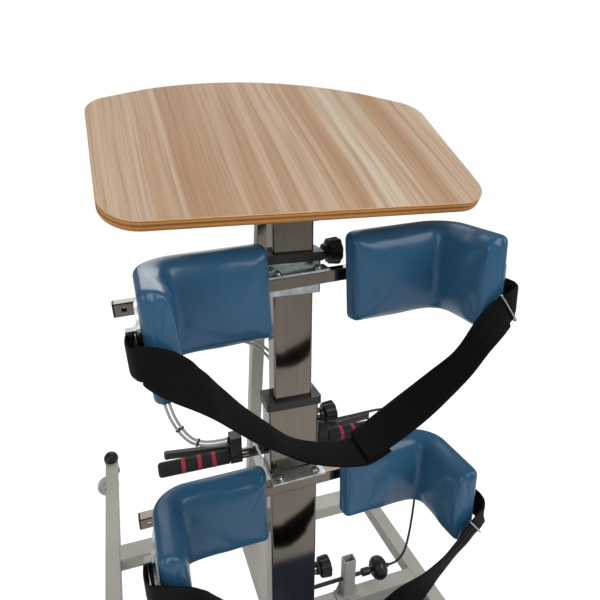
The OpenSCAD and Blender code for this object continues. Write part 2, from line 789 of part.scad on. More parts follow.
// Angle that a crossbar is bolted under, from the face at y = -face
module bar_seat(face, bar_y, z) {
    rear = bar_y - bar_s / 2;
    top = z + bar_s / 2;
    translate([-seat_half, -rear, z - bar_s / 2]) cube([2 * seat_half, rear - face, bar_s + seat_t]);
    translate([-seat_half, -bar_y - bar_s / 2 - 2, top]) cube([2 * seat_half, bar_s + 2 + rear - face, seat_t]);
    for (x = [-seat_half * 0.67, seat_half * 0.67]) translate([x, -bar_y, top + seat_t]) {
        cylinder(d = 18, h = 1.5);
        difference() {
            translate([0, 0, -2]) sphere(d = 17);
            translate([-10, -10, -12]) cube([20, 20, 13.5]);
        }
    }
}

module crossbar(bar_y, z) {
    difference() {
        translate([-bar_half, -bar_y, z]) tube_x(bar_s, bar_s, 2, bar_wall, 2 * bar_half);
        for (x = [-bar_half + 14, bar_half - 14]) bore_y(8, x, -bar_y - bar_s, z, 2 * bar_s);
    }
}

module bar_plugs(bar_y, z) {
    inside = bar_s - 2 * bar_wall;
    for (side = [-1, 1]) translate([side * bar_half, -bar_y, z]) rotate([0, side * 90, 0]) {
        linear_extrude(3) rect(bar_s, bar_s, 3);
        translate([0, 0, -8]) linear_extrude(9) rect(inside, inside, 0.5);
    }
}

module hip_bracket() {
    color(zinc) place() {
        translate([0, 0, hip_sleeve_low]) linear_extrude(hip_sleeve_h)
            ring_rect(outer_w, outer_d, column_r, column_wall);
        leaned(hip_z, hip_lean) bar_seat(outer_d / 2 - 1, hip_bar_y, hip_z);
    }
}

module hip_collar() {
    color(black) place() difference() {
        union() {
            collar(hip_lip_low, hip_sleeve_h);
            bore_x(lip_h, outer_half + lip_over - 1, 0, hip_knob_z, boss_h - lip_over + 1);
        }
        bore_x(stud_bore, inner_w / 2 - 5, 0, hip_knob_z, outer_w);
    }
}

module hip_crossbar() color(zinc) place() leaned(hip_z, hip_lean) crossbar(hip_bar_y, hip_z);

module hip_bar_plugs() color(black) place() leaned(hip_z, hip_lean) bar_plugs(hip_bar_y, hip_z);

module hip_knob() side_knob(hip_knob_z);

module knee_clamp() {
    in_x = outer_half + slide_gap;
    in_y = outer_d / 2 + slide_gap;
    high = clamp_high - clamp_low;
    color(zinc) place() difference() {
        union() {
            for (x = [-in_x - plate_t, in_x]) translate([x, -in_y - plate_t, clamp_low])
                cube([plate_t, in_y + plate_t + handle_y + 16, high]);
            for (y = [-in_y - plate_t, in_y]) translate([-in_x - 1, y, clamp_low]) cube([2 * in_x + 2, plate_t, high]);
            leaned(knee_z, knee_lean) bar_seat(in_y + plate_t / 2, knee_bar_y, knee_z);
        }
        bore_x(handle_d + 2 * pin_gap, -outer_w, handle_y, handle_z, 2 * outer_w);
    }
}

module knee_crossbar() color(zinc) place() leaned(knee_z, knee_lean) crossbar(knee_bar_y, knee_z);

module knee_bar_plugs() color(black) place() leaned(knee_z, knee_lean) bar_plugs(knee_bar_y, knee_z);

// Pads, drawn for the right side and mirrored for the left

// Half section of a pad: rounded at the front edges, flatter at the back, with a crowned face.
// First value runs from the back (-) to the front (+), second is the height.
function pad_section(inset) =
    let (a = pad_t / 2 - inset, b = pad_h / 2 - inset, rf = max(edge_r - inset * 0.7, 3), rb = max(10 - inset * 0.5, 2),
        c = crown * max(0, 1 - inset / 8))
    concat(
        [for (k = [0 : 4]) [rb - a - rb * cos(22.5 * k), b - rb + rb * sin(22.5 * k)]],
        [for (k = [0 : 4]) [a - c - rf + rf * sin(22.5 * k), b - rf + rf * cos(22.5 * k)]],
        [for (k = [1 : 5]) [a - c + c * sin(30 * k), (b - rf) * (1 - k / 3)]],
        [for (k = [0 : 4]) [a - c - rf + rf * cos(22.5 * k), rf - b - rf * sin(22.5 * k)]],
        [for (k = [0 : 4]) [rb - a - rb * sin(22.5 * k), rb - b - rb * cos(22.5 * k)]]);

// Stations along the pad's middle line: place, direction across it and drawn-in amount
function pad_stations(mid_y) =
    let (r = bend_in + pad_t / 2, wing_x = wing_out - pad_t / 2, bend_y = mid_y - r, draw = 16)
    concat(
        [for (k = [0 : 4]) [[pad_in + draw * (1 - cos(22.5 * k)), mid_y], [0, -1], draw * (1 - sin(22.5 * k))]],
        [for (k = [1 : 2]) [[pad_in + draw + (bend_x - pad_in - draw) * k / 3, mid_y], [0, -1], 0]],
        [for (k = [0 : 8]) [[bend_x + r * sin(11.25 * k), bend_y + r * cos(11.25 * k)],
            [-sin(11.25 * k), -cos(11.25 * k)], 0]],
        [[[wing_x, (bend_y + draw - wing_end) / 2], [-1, 0], 0]],
        [for (k = [4 : -1 : 0]) [[wing_x, -wing_end + draw * (1 - cos(22.5 * k))], [-1, 0], draw * (1 - sin(22.5 * k))]]);

module pad(bar_y, z) {
    mid_y = -bar_y - clamp_s / 2 - strip_t - strip_gap - pad_t / 2;
    skin([for (s = pad_stations(mid_y))
        [for (q = pad_section(s[2])) [s[0][0] + q[0] * s[1][0], s[0][1] + q[0] * s[1][1], z - q[1]]]]);
}

// Clamp that slides on the crossbar, with a steel strip round the back of the pad and an anchor pin for the strap
module pad_bracket(bar_y, z, pin_z) {
    face = -bar_y - clamp_s / 2;
    bend_y = face - strip_t - strip_gap - bend_out;
    r_in = bend_out + strip_gap;
    strip_end = wing_end - 16;
    translate([clamp_x - clamp_len / 2, -bar_y, z]) rotate([0, 90, 0]) linear_extrude(clamp_len) difference() {
        rect(clamp_s, clamp_s, 3);
        rect(clamp_s - 2 * clamp_wall, clamp_s - 2 * clamp_wall, 1.5);
    }
    translate([0, 0, z - strip_h / 2]) linear_extrude(strip_h) {
        translate([clamp_x - clamp_len / 2 - 10, face - strip_t])
            square([bend_x - clamp_x + clamp_len / 2 + 10, strip_t]);
        intersection() {
            translate([bend_x, bend_y]) difference() {
                circle(r_in + strip_t, $fn = 96);
                circle(r_in, $fn = 96);
            }
            translate([bend_x, bend_y]) square(2 * bend_out);
        }
        translate([wing_out + strip_gap, -strip_end]) square([strip_t, strip_end + bend_y]);
    }
    translate([strip_out - 1, strap_y - 12, z + pin_z - anchor_half - 4]) cube([4, 24, 2 * anchor_half + 8]);
    for (side = [-1, 1]) translate([strip_out + 2, strap_y - 7, z + pin_z + side * anchor_half - 2])
        cube([anchor_x + 5 - strip_out - 2, 14, 4]);
    translate([anchor_x, strap_y, z + pin_z - anchor_half]) cylinder(d = anchor_d, h = 2 * anchor_half);
}

// Strap routes: distance from the middle, depth, height over the crossbar, lean from upright and width.
// A strap starts behind its anchor pin, comes round the front of the wing, and leans back until it lies flat.
function loop_route(out, rise) = concat(
    [for (y = [36, 12]) [anchor_x + out - anchor_turn, strap_y - y, rise, 0, strap_narrow]],
    [for (a = [180 : -45 : 0])
        [anchor_x + out + anchor_turn * cos(a), strap_y + anchor_turn * sin(a), rise, 0, strap_narrow]],
    [
        [anchor_x + out + anchor_turn + 1, strap_y - 24, rise, 0, strap_narrow],
        [wing_out + out + 14, strap_front + 6, rise - 1, 0, strap_narrow]
    ]);
function hip_left_route(out) = concat(loop_route(out, hip_left_pin_z), [
    [wing_out + out + 2, strap_front, -25, 0, strap_wide - 24],
    [wing_out + out - 12, strap_front - 3, -32, 10, strap_wide - 21],
    [wing_out + out - 32, strap_front - 4, -47, 23, strap_wide - 18], [214, -243, -65, 36, strap_wide - 15],
    [194, -232, -88, 47, strap_wide - 10], [170, -214, -123, 60, strap_wide - 7], [140, -203, -161, 72, strap_wide - 5],
    [105, -198, -195, 82, strap_wide - 4], [70, -197, -225, 91, strap_wide - 2], [30, -198, -243, 93, strap_wide],
    [-10, -199, -252, 91, strap_wide], [-40, -199, -252, 88, strap_wide], [-75, -199, -236, 84, strap_wide]
]);
function hip_right_route(out) = concat(loop_route(out, right_pin_z), [
    [wing_out + out + 2, strap_front, -8, 0, strap_narrow + 2],
    [wing_out + out - 12, strap_front - 2, -17, 8, strap_narrow + 2],
    [wing_out + out - 27, strap_front - 4, -28, 24, strap_narrow + 2], [225, strap_front - 4, -59, 44, strap_narrow],
    [200, -236, -103, 56, strap_narrow + 3], [170, -221, -143, 64, strap_wide - 17],
    [140, -209, -177, 70, strap_wide - 9], [105, -200, -208, 76, strap_wide - 4], [70, -197, -231, 83, strap_wide - 1],
    [38, -196, -247, 88, strap_wide]
]);

function knee_left_route(out) = concat(loop_route(out, knee_left_pin_z), [
    [wing_out + out + 2, strap_front, 18, 0, strap_wide - 26],
    [wing_out + out - 12, strap_front - 3, 10, 4, strap_wide - 24],
    [wing_out + out - 32, strap_front - 4, -7, 16, strap_wide - 22], [222, -246, -32, 30, strap_wide - 19],
    [198, -236, -68, 43, strap_wide - 15], [170, -220, -116, 57, strap_wide - 11], [140, -208, -168, 68, strap_wide - 8],
    [105, -200, -226, 78, strap_wide - 5], [70, -197, -274, 86, strap_wide - 3], [30, -197, -312, 90, strap_wide],
    [-10, -198, -327, 91, strap_wide], [-40, -199, -324, 88, strap_wide], [-75, -199, -299, 84, strap_wide]
]);
function knee_right_route(out) = concat(loop_route(out, right_pin_z), [
    [wing_out + out + 2, strap_front, -14, 0, strap_narrow - 2],
    [wing_out + out - 12, strap_front - 4, -25, 18, strap_narrow - 4],
    [wing_out + out - 27, strap_front - 9, -42, 40, strap_narrow - 6], [230, -256, -74, 66, strap_narrow - 6],
    [205, -248, -114, 86, strap_narrow - 4], [180, -232, -157, 94, strap_narrow],
    [150, -216, -203, 94, strap_narrow + 8], [115, -204, -252, 90, strap_wide - 16],
    [75, -198, -293, 86, strap_wide - 6], [38, -196, -318, 88, strap_wide]
]);

// A strap keeps its heights where its crossbar leans: lift is what the crossbar drops over each millimetre outwards
module strap(route, z, lift) {
    p = smooth(route, 3);
    middle = [for (q = p) [q[0], q[1], z + q[2] + lift * q[0]]];
    skin([for (i = [0 : len(p) - 1])
        let (t = tangent(middle, i), lean = [0, sin(p[i][3]), cos(p[i][3])], w = unit(lean - (lean * t) * t),
            n = cross(t, w) * strap_t / 2)
        [for (c = [[1, -1], [1, 1], [-1, 1], [-1, -1]]) middle[i] + c[0] * n + c[1] * w * p[i][4] / 2]]);
}

// One side of a level, in place: pad, bracket or strap
module side_pad(bar_y, z, lean, out) leaned(z, lean) translate([out, 0, 0]) pad(bar_y, z);

module side_bracket(bar_y, z, lean, out, pin_z) {
    leaned(z, lean) translate([out, 0, 0]) pad_bracket(bar_y, z, pin_z - tan(lean) * (anchor_x + out));
}

module side_strap(route, z, lean) leaned(z, lean) strap(route, z, -tan(lean));

module hip_right_pad() color(pad_blue) place() side_pad(hip_bar_y, hip_z, hip_lean, hip_right_out);

module hip_left_pad() color(pad_blue) place() mirror([1, 0, 0]) side_pad(hip_bar_y, hip_z, -hip_lean, hip_left_out);

module knee_right_pad() color(pad_blue) place() side_pad(knee_bar_y, knee_z, knee_lean, knee_right_out);

module knee_left_pad() color(pad_blue) place() mirror([1, 0, 0]) side_pad(knee_bar_y, knee_z, -knee_lean, knee_left_out);

module hip_right_pad_bracket() {
    color(zinc) place() side_bracket(hip_bar_y, hip_z, hip_lean, hip_right_out, right_pin_z);
}

module hip_left_pad_bracket() {
    color(zinc) place() mirror([1, 0, 0]) side_bracket(hip_bar_y, hip_z, -hip_lean, hip_left_out, hip_left_pin_z);
}

module knee_right_pad_bracket() {
    color(zinc) place() side_bracket(knee_bar_y, knee_z, knee_lean, knee_right_out, right_pin_z);
}

module knee_left_pad_bracket() {
    color(zinc) place() mirror([1, 0, 0]) side_bracket(knee_bar_y, knee_z, -knee_lean, knee_left_out, knee_left_pin_z);
}

module hip_right_strap() color(black) place() side_strap(hip_right_route(hip_right_out), hip_z, hip_lean);

module hip_left_strap() color(black) place() mirror([1, 0, 0]) side_strap(hip_left_route(hip_left_out), hip_z, -hip_lean);

module knee_right_strap() color(black) place() side_strap(knee_right_route(knee_right_out), knee_z, knee_lean);

module knee_left_strap() color(black) place() mirror([1, 0, 0]) side_strap(knee_left_route(knee_left_out), knee_z, -knee_lean);

// Rear handle, levers and control cables

module handle_bar() {
    color(chrome) place() difference() {
        bore_x(handle_d, -handle_half, handle_y, handle_z, 2 * handle_half);
        bore_x(handle_d - 4, -handle_half - 1, handle_y, handle_z, 2 * handle_half + 2);
    }
}

module grips() {
    end = handle_half + 4;
    color(black) place() for (side = [0, 1]) mirror([side, 0, 0]) translate([0, handle_y, handle_z])
        rotate([0, 90, 0]) rotate_extrude() polygon(concat(
            [[handle_d / 2, grip_in], [grip_d / 2 - 2, grip_in], [grip_d / 2, grip_in + 2]],
            [for (a = [0 : 15 : 90]) [grip_d / 2 - 6 + 6 * cos(a), end - 6 + 6 * sin(a)]],
            [[0, end], [0, handle_half], [handle_d / 2, handle_half]]));
}

module perch(glands) {
    depth = 30;
    wide = perch_out - perch_in;
    ear_z = [handle_z - lever_half - slide_gap - 4.5, handle_z + lever_half + slide_gap];
    difference() {
        union() {
            bore_x(handle_d + 12, perch_in, handle_y, handle_z, wide);
            translate([perch_mid, handle_y, handle_z]) linear_extrude(perch_top - handle_z) rect(wide, depth, 3);
            translate([perch_in, handle_y, ear_z[0]]) cube([wide, 18, ear_z[1] + 4.5 - ear_z[0]]);
            for (z = ear_z) translate([perch_mid, lever_y - 6, z]) linear_extrude(4.5) {
                rect(wide, 14, 2);
                translate([0, 6]) circle(9);
            }
            for (dz = glands) bore_x(cable_d + 2, perch_out - 1, handle_y, gland_z + dz, gland_h + 1);
        }
        bore_x(handle_d + 2 * pin_gap, perch_in - 1, handle_y, handle_z, wide + 2);
        translate([perch_mid, lever_y, handle_z - lever_half - slide_gap])
            cylinder(d = 22, h = 2 * (lever_half + slide_gap));
    }
    translate([perch_mid, lever_y, ear_z[0] - 1]) cylinder(d = lever_pin, h = ear_z[1] - ear_z[0] + 6.5);
}

module lever_perches() {
    color(black) place() {
        perch([0]);
        mirror([1, 0, 0]) perch([-cable_gap / 2, cable_gap / 2]);
    }
}

module lever() {
    color(black) translate([perch_mid, lever_y, handle_z - lever_half]) linear_extrude(2 * lever_half) difference() {
        union() {
            circle(9);
            polygon([[0, -6], [30, -2], [lever_len, 11], [lever_len, 23], [30, 10], [0, 9]]);
            translate([lever_len, 17]) circle(7);
        }
        circle(lever_pin / 2 + pin_gap);
    }
}

module lever_right() place() lever();

module lever_left() place() mirror([1, 0, 0]) lever();

module left_cables() {
    color(grey) place() for (aside = [-cable_gap / 2, cable_gap / 2])
        swept_tube(left_route, cable_d, 8, 2, aside);
}

module right_cable() color(black) place() swept_tube(right_route, cable_d, 8, 2);

left_rail();
right_rail();
front_cross_tube();
rear_cross_tube();
spine_tube();
socket_caps();
foot_board();
column_foot();
outer_column();
column_collar();
column_knob();
lower_knob();
column_lock();
lock_pin();
foot_lock_bracket();
lock_plunger();
castor_fork_front_left();
castor_fork_front_right();
castor_fork_rear_left();
castor_fork_rear_right();
castor_wheel_front_left();
castor_wheel_front_right();
castor_wheel_rear_left();
castor_wheel_rear_right();
inner_column();
column_shoe();
table_bracket();
table_plate();
table_top();
tilt_knob();
strut_foot();
strut_tube();
strut_inner();
hip_bracket();
hip_collar();
hip_crossbar();
hip_bar_plugs();
hip_knob();
hip_left_pad();
hip_right_pad();
hip_left_pad_bracket();
hip_right_pad_bracket();
hip_left_strap();
hip_right_strap();
knee_clamp();
knee_crossbar();
knee_bar_plugs();
knee_left_pad();
knee_right_pad();
knee_left_pad_bracket();
knee_right_pad_bracket();
knee_left_strap();
knee_right_strap();
handle_bar();
grips();
lever_perches();
lever_left();
lever_right();
left_cables();
right_cable();
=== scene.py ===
import json
import math

import bmesh
import bpy
import numpy as np
from mathutils import Matrix, Vector


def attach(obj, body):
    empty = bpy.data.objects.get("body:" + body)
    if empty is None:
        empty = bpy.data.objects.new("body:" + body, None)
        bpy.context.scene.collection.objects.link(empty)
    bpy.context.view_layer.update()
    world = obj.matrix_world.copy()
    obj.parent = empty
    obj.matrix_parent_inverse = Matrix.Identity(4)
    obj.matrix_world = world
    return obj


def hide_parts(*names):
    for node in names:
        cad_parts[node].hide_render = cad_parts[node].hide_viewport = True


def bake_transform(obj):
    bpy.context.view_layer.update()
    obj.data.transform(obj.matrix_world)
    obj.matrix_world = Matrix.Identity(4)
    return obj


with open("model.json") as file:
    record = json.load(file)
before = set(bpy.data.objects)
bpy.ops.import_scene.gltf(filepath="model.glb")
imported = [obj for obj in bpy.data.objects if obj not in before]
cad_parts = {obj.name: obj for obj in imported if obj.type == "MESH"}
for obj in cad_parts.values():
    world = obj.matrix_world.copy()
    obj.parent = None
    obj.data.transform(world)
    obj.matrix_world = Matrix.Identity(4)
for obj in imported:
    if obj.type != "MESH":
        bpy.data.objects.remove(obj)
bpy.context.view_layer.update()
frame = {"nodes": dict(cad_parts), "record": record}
nodes = frame["nodes"]
scene = bpy.context.scene
scene.view_settings.view_transform = "Standard"
print("frame loaded:", len(nodes), "nodes")

columnY = -0.2375  # the column's axis in the shared frame
levels = {
    "hip": {"height": 1.064, "depth": 0.044, "lean": 3.4, "out": {"left": -6, "right": 8}},
    "knee": {"height": 0.648, "depth": 0.047, "lean": 1.5, "out": {"left": 6, "right": 9}},
}

photoCamera = {
    "place": (-0.2793, -1.0671, 1.322),
    "down": 19.5,
    "right": 19.8,
    "roll": 0.3,
    "lens": 30.52,
}


def addCamera(s):
    # right, forward and up from yaw and pitch, then a small roll about forward
    yaw, pitch, roll = (math.radians(s[k]) for k in ("right", "down", "roll"))
    side = Vector((math.cos(yaw), -math.sin(yaw), 0))
    ahead = Vector((math.sin(yaw) * math.cos(pitch), math.cos(yaw) * math.cos(pitch), -math.sin(pitch)))
    up = side.cross(ahead)
    across = side * math.cos(roll) + up * math.sin(roll)
    upright = up * math.cos(roll) - side * math.sin(roll)
    data = bpy.data.cameras.new("photoCamera")
    data.lens = s["lens"]
    data.sensor_width = 36
    data.clip_start = 0.02
    camera = bpy.data.objects.new("photoCamera", data)
    scene.collection.objects.link(camera)
    turn = Matrix((across, upright, -ahead)).transposed()
    camera.matrix_world = Matrix.Translation(s["place"]) @ turn.to_4x4()
    scene.camera = camera


addCamera(photoCamera)
print("camera set")


def rowFrame(points):
    # millimetres round the column's axis, to metres in the shared frame
    return np.asarray(points, float) / 1000 + np.array([0, columnY, 0])


def leanedPoints(points, level):
    # points round a level's crossbar, in metres, leaned with it about the column and moved to its place
    s = levels[level]
    lean = math.radians(s["lean"])
    turn = np.array([
        (math.cos(lean), 0, -math.sin(lean)), (0, 1, 0), (math.sin(lean), 0, math.cos(lean)),
    ])
    return points @ turn.T + np.array([0, columnY, s["height"]])


def smoothRoute(points, steps):
    # cubic curve through the points: each span leans on the points before and after it
    p = np.asarray(points, float)
    q = np.concatenate([p[:1], p, p[-1:]])
    a, b, c, d = q[:-3, None], q[1:-2, None], q[2:-1, None], q[3:, None]
    t = (np.arange(steps) / steps)[None, :, None]
    span = 2 * b + (c - a) * t + (2 * a - 5 * b + 4 * c - d) * t**2 + (3 * b - a - 3 * c + d) * t**3
    return np.concatenate([0.5 * span.reshape(-1, p.shape[1]), p[-1:]])


def unitRows(v):
    return v / np.linalg.norm(v, axis=-1, keepdims=True)


def ringSkin(rings, closed=False):
    # quads between neighbouring rings, with a face over each end, or the last ring joined to the first
    n, m = rings.shape[:2]
    i = np.arange(n if closed else n - 1)[:, None]
    after = (i + 1) % n * m
    j = np.arange(m)[None, :]
    k = (j + 1) % m
    quads = np.stack(np.broadcast_arrays(i * m + j, i * m + k, after + k, after + j), -1).reshape(-1, 4).tolist()
    ends = [] if closed else [list(range(m)), list(range((n - 1) * m, n * m))]
    return rings.reshape(-1, 3), quads + ends


def joinSkins(skins):
    # several skins as one, each with its faces counted on from the last
    verts, faces, start = [], [], 0
    for v, f in skins:
        verts.append(v)
        faces += [[start + k for k in face] for face in f]
        start += len(v)
    return np.concatenate(verts), faces


def tubeRings(path, radius, sides, side=(0, 1, 0)):
    # circles square to the path, turned so that one radius stays square to the side direction
    t = unitRows(np.gradient(path, axis=0))
    u = unitRows(np.cross(t, np.asarray(side, float)))
    v = np.cross(t, u)
    angle = np.arange(sides) * 2 * math.pi / sides
    r = np.broadcast_to(np.asarray(radius, float), (len(path),))[:, None, None]
    spoke = np.cos(angle)[None, :, None] * v[:, None] + np.sin(angle)[None, :, None] * u[:, None]
    return path[:, None] + r * spoke


def turnedRings(profile, centre, axis, sides):
    # profile of distance along the axis and radius, carried round the axis
    p = np.asarray(profile, float)
    axis = unitRows(np.asarray(axis, float))
    u = unitRows(np.cross(axis, [0.31, 0.57, 0.76]))
    v = np.cross(axis, u)
    angle = np.arange(sides) * 2 * math.pi / sides
    spoke = np.cos(angle)[:, None] * u + np.sin(angle)[:, None] * v
    return np.asarray(centre) + p[:, None, :1] * axis + p[:, None, 1:] * spoke[None]


def wireLoop(centre, along, across, half, s):
    # a wire bent into a flat rounded loop that stands square to a direction
    a = np.arange(s["points"]) * 2 * math.pi / s["points"]
    c, d = np.cos(a), np.sin(a)
    x = half * np.sign(c) * np.abs(c) ** s["square"]
    y = s["short"] * np.sign(d) * np.abs(d) ** s["square"]
    path = centre + x[:, None] * across + y[:, None] * np.cross(along, across)
    t = unitRows(np.roll(path, -1, 0) - np.roll(path, 1, 0))
    spoke = np.arange(s["sides"]) * 2 * math.pi / s["sides"]
    inPlane = np.cross(t, along)[:, None]
    cosine, sine = np.cos(spoke)[None, :, None], np.sin(spoke)[None, :, None]
    return ringSkin(path[:, None] + cosine * inPlane * s["wire"] + sine * along * s["flat"], closed=True)


def addPiece(name, skin, finishes, smooth=True):
    # a mesh at the origin with its faces turned outwards
    verts, faces = skin
    mesh = bpy.data.meshes.new(name)
    mesh.from_pydata(verts.tolist(), [], faces)
    for finish in finishes:
        mesh.materials.append(finish)
    b = bmesh.new()
    b.from_mesh(mesh)
    bmesh.ops.recalc_face_normals(b, faces=b.faces)
    b.to_mesh(mesh)
    b.free()
    mesh.polygons.foreach_set("use_smooth", np.full(len(mesh.polygons), smooth))
    mesh.update()
    obj = bpy.data.objects.new(name, mesh)
    scene.collection.objects.link(obj)
    return obj


def addNode(tree, kind, inputs=None, **settings):
    # inputs are plain values or the sockets that feed them
    n = tree.nodes.new(kind)
    for key, value in settings.items():
        setattr(n, key, value)
    for key, value in (inputs or {}).items():
        if isinstance(value, bpy.types.NodeSocket):
            tree.links.new(value, n.inputs[key])
        else:
            n.inputs[key].default_value = value
    return n


def mixColour(tree, factor, first, second):
    return addNode(tree, "ShaderNodeMix", {0: factor, 6: first, 7: second}, data_type="RGBA").outputs[2]


def noise(tree, place, scale, detail, distortion=0.0):
    inputs = {"Vector": place, "Scale": scale, "Detail": detail, "Distortion": distortion}
    return addNode(tree, "ShaderNodeTexNoise", inputs).outputs["Fac"]


def bumped(tree, height, strength, distance, normal=None):
    inputs = {"Height": height, "Strength": strength, "Distance": distance}
    if normal is not None:
        inputs["Normal"] = normal
    return addNode(tree, "ShaderNodeBump", inputs).outputs[0]


def maths(tree, operation, first, second=0.0):
    return addNode(tree, "ShaderNodeMath", {0: first, 1: second}, operation=operation).outputs[0]


def spread(tree, value, low, high, fromLow=0.0, fromHigh=1.0):
    return addNode(tree, "ShaderNodeMapRange", {0: value, 1: fromLow, 2: fromHigh, 3: low, 4: high}).outputs[0]


def startGroup(name, inputs, outputs):
    tree = bpy.data.node_groups.new(name, "ShaderNodeTree")
    for label, kind, value in inputs:
        socket = tree.interface.new_socket(name=label, in_out="INPUT", socket_type=kind)
        if value is not None:
            socket.default_value = value
    for label, kind in outputs:
        tree.interface.new_socket(name=label, in_out="OUTPUT", socket_type=kind)
    return tree, tree.nodes.new("NodeGroupInput").outputs, tree.nodes.new("NodeGroupOutput").inputs


def makeSurfaceGroup():
    # soft patches of two colours, roughness that follows the patches, and a fine grain
    tree, i, o = startGroup(
        "handledSurface",
        [
            ("Coordinates", "NodeSocketVector", None),
            ("First", "NodeSocketColor", (0.5, 0.5, 0.5, 1)),
            ("Second", "NodeSocketColor", (0.4, 0.4, 0.4, 1)),
            ("Patch Scale", "NodeSocketFloat", 8.0),
            ("Grain Scale", "NodeSocketFloat", 600.0),
            ("Smooth", "NodeSocketFloat", 0.3),
            ("Rough", "NodeSocketFloat", 0.5),
        ],
        [("Color", "NodeSocketColor"), ("Roughness", "NodeSocketFloat"), ("Height", "NodeSocketFloat")],
    )
    patch = noise(tree, i["Coordinates"], i["Patch Scale"], 5.0)
    grain = noise(tree, i["Coordinates"], i["Grain Scale"], 2.0)
    amount = spread(tree, patch, 0.0, 1.0, 0.32, 0.68)
    fine = spread(tree, grain, -0.12, 0.12, 0.3, 0.7)
    both = maths(tree, "ADD", amount, fine)
    tree.links.new(mixColour(tree, both, i["First"], i["Second"]), o["Color"])
    rough = addNode(tree, "ShaderNodeMix", {0: both, 2: i["Smooth"], 3: i["Rough"]}, data_type="FLOAT")
    tree.links.new(rough.outputs[0], o["Roughness"])
    tree.links.new(grain, o["Height"])
    return tree


def makeStreakGroup():
    # fine lines drawn out along one axis, as on rolled or polished metal and wood; where the steel takes them into
    # its colour they are a painted reflection
    tree, i, o = startGroup(
        "drawnStreaks",
        [
            ("Coordinates", "NodeSocketVector", None),
            ("Stretch", "NodeSocketVector", (300.0, 300.0, 6.0)),
            ("Wander", "NodeSocketFloat", 0.3),
        ],
        [("Streak", "NodeSocketFloat")],
    )
    pulled = addNode(tree, "ShaderNodeVectorMath", {0: i["Coordinates"], 1: i["Stretch"]}, operation="MULTIPLY")
    tree.links.new(noise(tree, pulled.outputs[0], 1.0, 4.0, i["Wander"]), o["Streak"])
    return tree


def makeWebbingGroup():
    # crossed rows of thread on the strap's own lay, with a stitched line along both edges
    tree, i, o = startGroup(
        "strapWebbing",
        [
            ("Lay", "NodeSocketVector", None),
            ("Rows", "NodeSocketFloat", 620.0),
            ("Threads", "NodeSocketFloat", 2600.0),
            ("Stitches", "NodeSocketFloat", 1500.0),
        ],
        [("Thread", "NodeSocketFloat"), ("Stitch", "NodeSocketFloat")],
    )
    part = addNode(tree, "ShaderNodeSeparateXYZ", {0: i["Lay"]})
    alongLay = maths(tree, "SINE", maths(tree, "MULTIPLY", part.outputs[0], i["Rows"]))
    acrossLay = maths(tree, "SINE", maths(tree, "MULTIPLY", part.outputs[1], i["Threads"]))
    thread = maths(tree, "MULTIPLY", alongLay, acrossLay)
    edge = maths(tree, "ABSOLUTE", part.outputs[2])
    line = maths(tree, "COMPARE", edge, 0.86)
    line.node.inputs[2].default_value = 0.016
    wave = maths(tree, "SINE", maths(tree, "MULTIPLY", part.outputs[0], i["Stitches"]))
    dash = maths(tree, "GREATER_THAN", wave, -0.3)
    tree.links.new(spread(tree, thread, 0.0, 1.0, -1.0, 1.0), o["Thread"])
    tree.links.new(maths(tree, "MULTIPLY", line, dash), o["Stitch"])
    return tree


surfaceGroup = makeSurfaceGroup()
streakGroup = makeStreakGroup()
webbingGroup = makeWebbingGroup()


def colour(r, g, b):
    # a colour as a picture shows it, 0 to 255, to the renderer's linear values
    c = np.array([r, g, b]) / 255
    return (*np.where(c > 0.04045, ((c + 0.055) / 1.055) ** 2.4, c / 12.92).tolist(), 1.0)


def startFinish(name):
    m = bpy.data.materials.new(name)
    m.use_nodes = True
    tree = m.node_tree
    shader = tree.nodes["Principled BSDF"]
    place = tree.nodes.new("ShaderNodeTexCoord").outputs["Object"]
    return m, tree, shader, place


def handledFinish(name, s):
    # a solid finish: two close colours, grain, and softened edges from a rounded normal
    m, tree, shader, place = startFinish(name)
    g = addNode(tree, "ShaderNodeGroup", node_tree=surfaceGroup)
    tree.links.new(place, g.inputs["Coordinates"])
    g.inputs["First"].default_value = s["first"]
    g.inputs["Second"].default_value = s["second"]
    g.inputs["Patch Scale"].default_value = s.get("patch", 8.0)
    g.inputs["Grain Scale"].default_value = s.get("grain", 600.0)
    g.inputs["Smooth"].default_value = s["smooth"]
    g.inputs["Rough"].default_value = s["rough"]
    tint, rough, height = g.outputs["Color"], g.outputs["Roughness"], g.outputs["Height"]
    # streaks along one axis: bumped as polish lines, and mixed into the colour, where on the steel they are painted
    # reflection streaks
    if "streak" in s:
        k = addNode(tree, "ShaderNodeGroup", node_tree=streakGroup)
        tree.links.new(place, k.inputs["Coordinates"])
        k.inputs["Stretch"].default_value = s["streak"]
        tint = mixColour(tree, spread(tree, k.outputs["Streak"], 0.0, 0.35, 0.35, 0.7), tint, s["second"])
        height = maths(tree, "ADD", height, k.outputs["Streak"])
    base = addNode(tree, "ShaderNodeBevel", {"Radius": s.get("edge", 0.0008)}, samples=4).outputs[0]
    if "puckers" in s:
        base = bumped(tree, noise(tree, place, s["puckers"], 2.0, 1.2), 0.3, 0.003, base)
    tree.links.new(tint, shader.inputs["Base Color"])
    tree.links.new(rough, shader.inputs["Roughness"])
    tree.links.new(bumped(tree, height, s.get("bump", 0.1), 0.0006, base), shader.inputs["Normal"])
    shader.inputs["Metallic"].default_value = s.get("metal", 0.0)
    shader.inputs["Coat Weight"].default_value = s.get("coat", 0.0)
    shader.inputs["Specular IOR Level"].default_value = s.get("specular", 0.5)
    shader.inputs["Coat Roughness"].default_value = s.get("coatRough", 0.1)
    return m


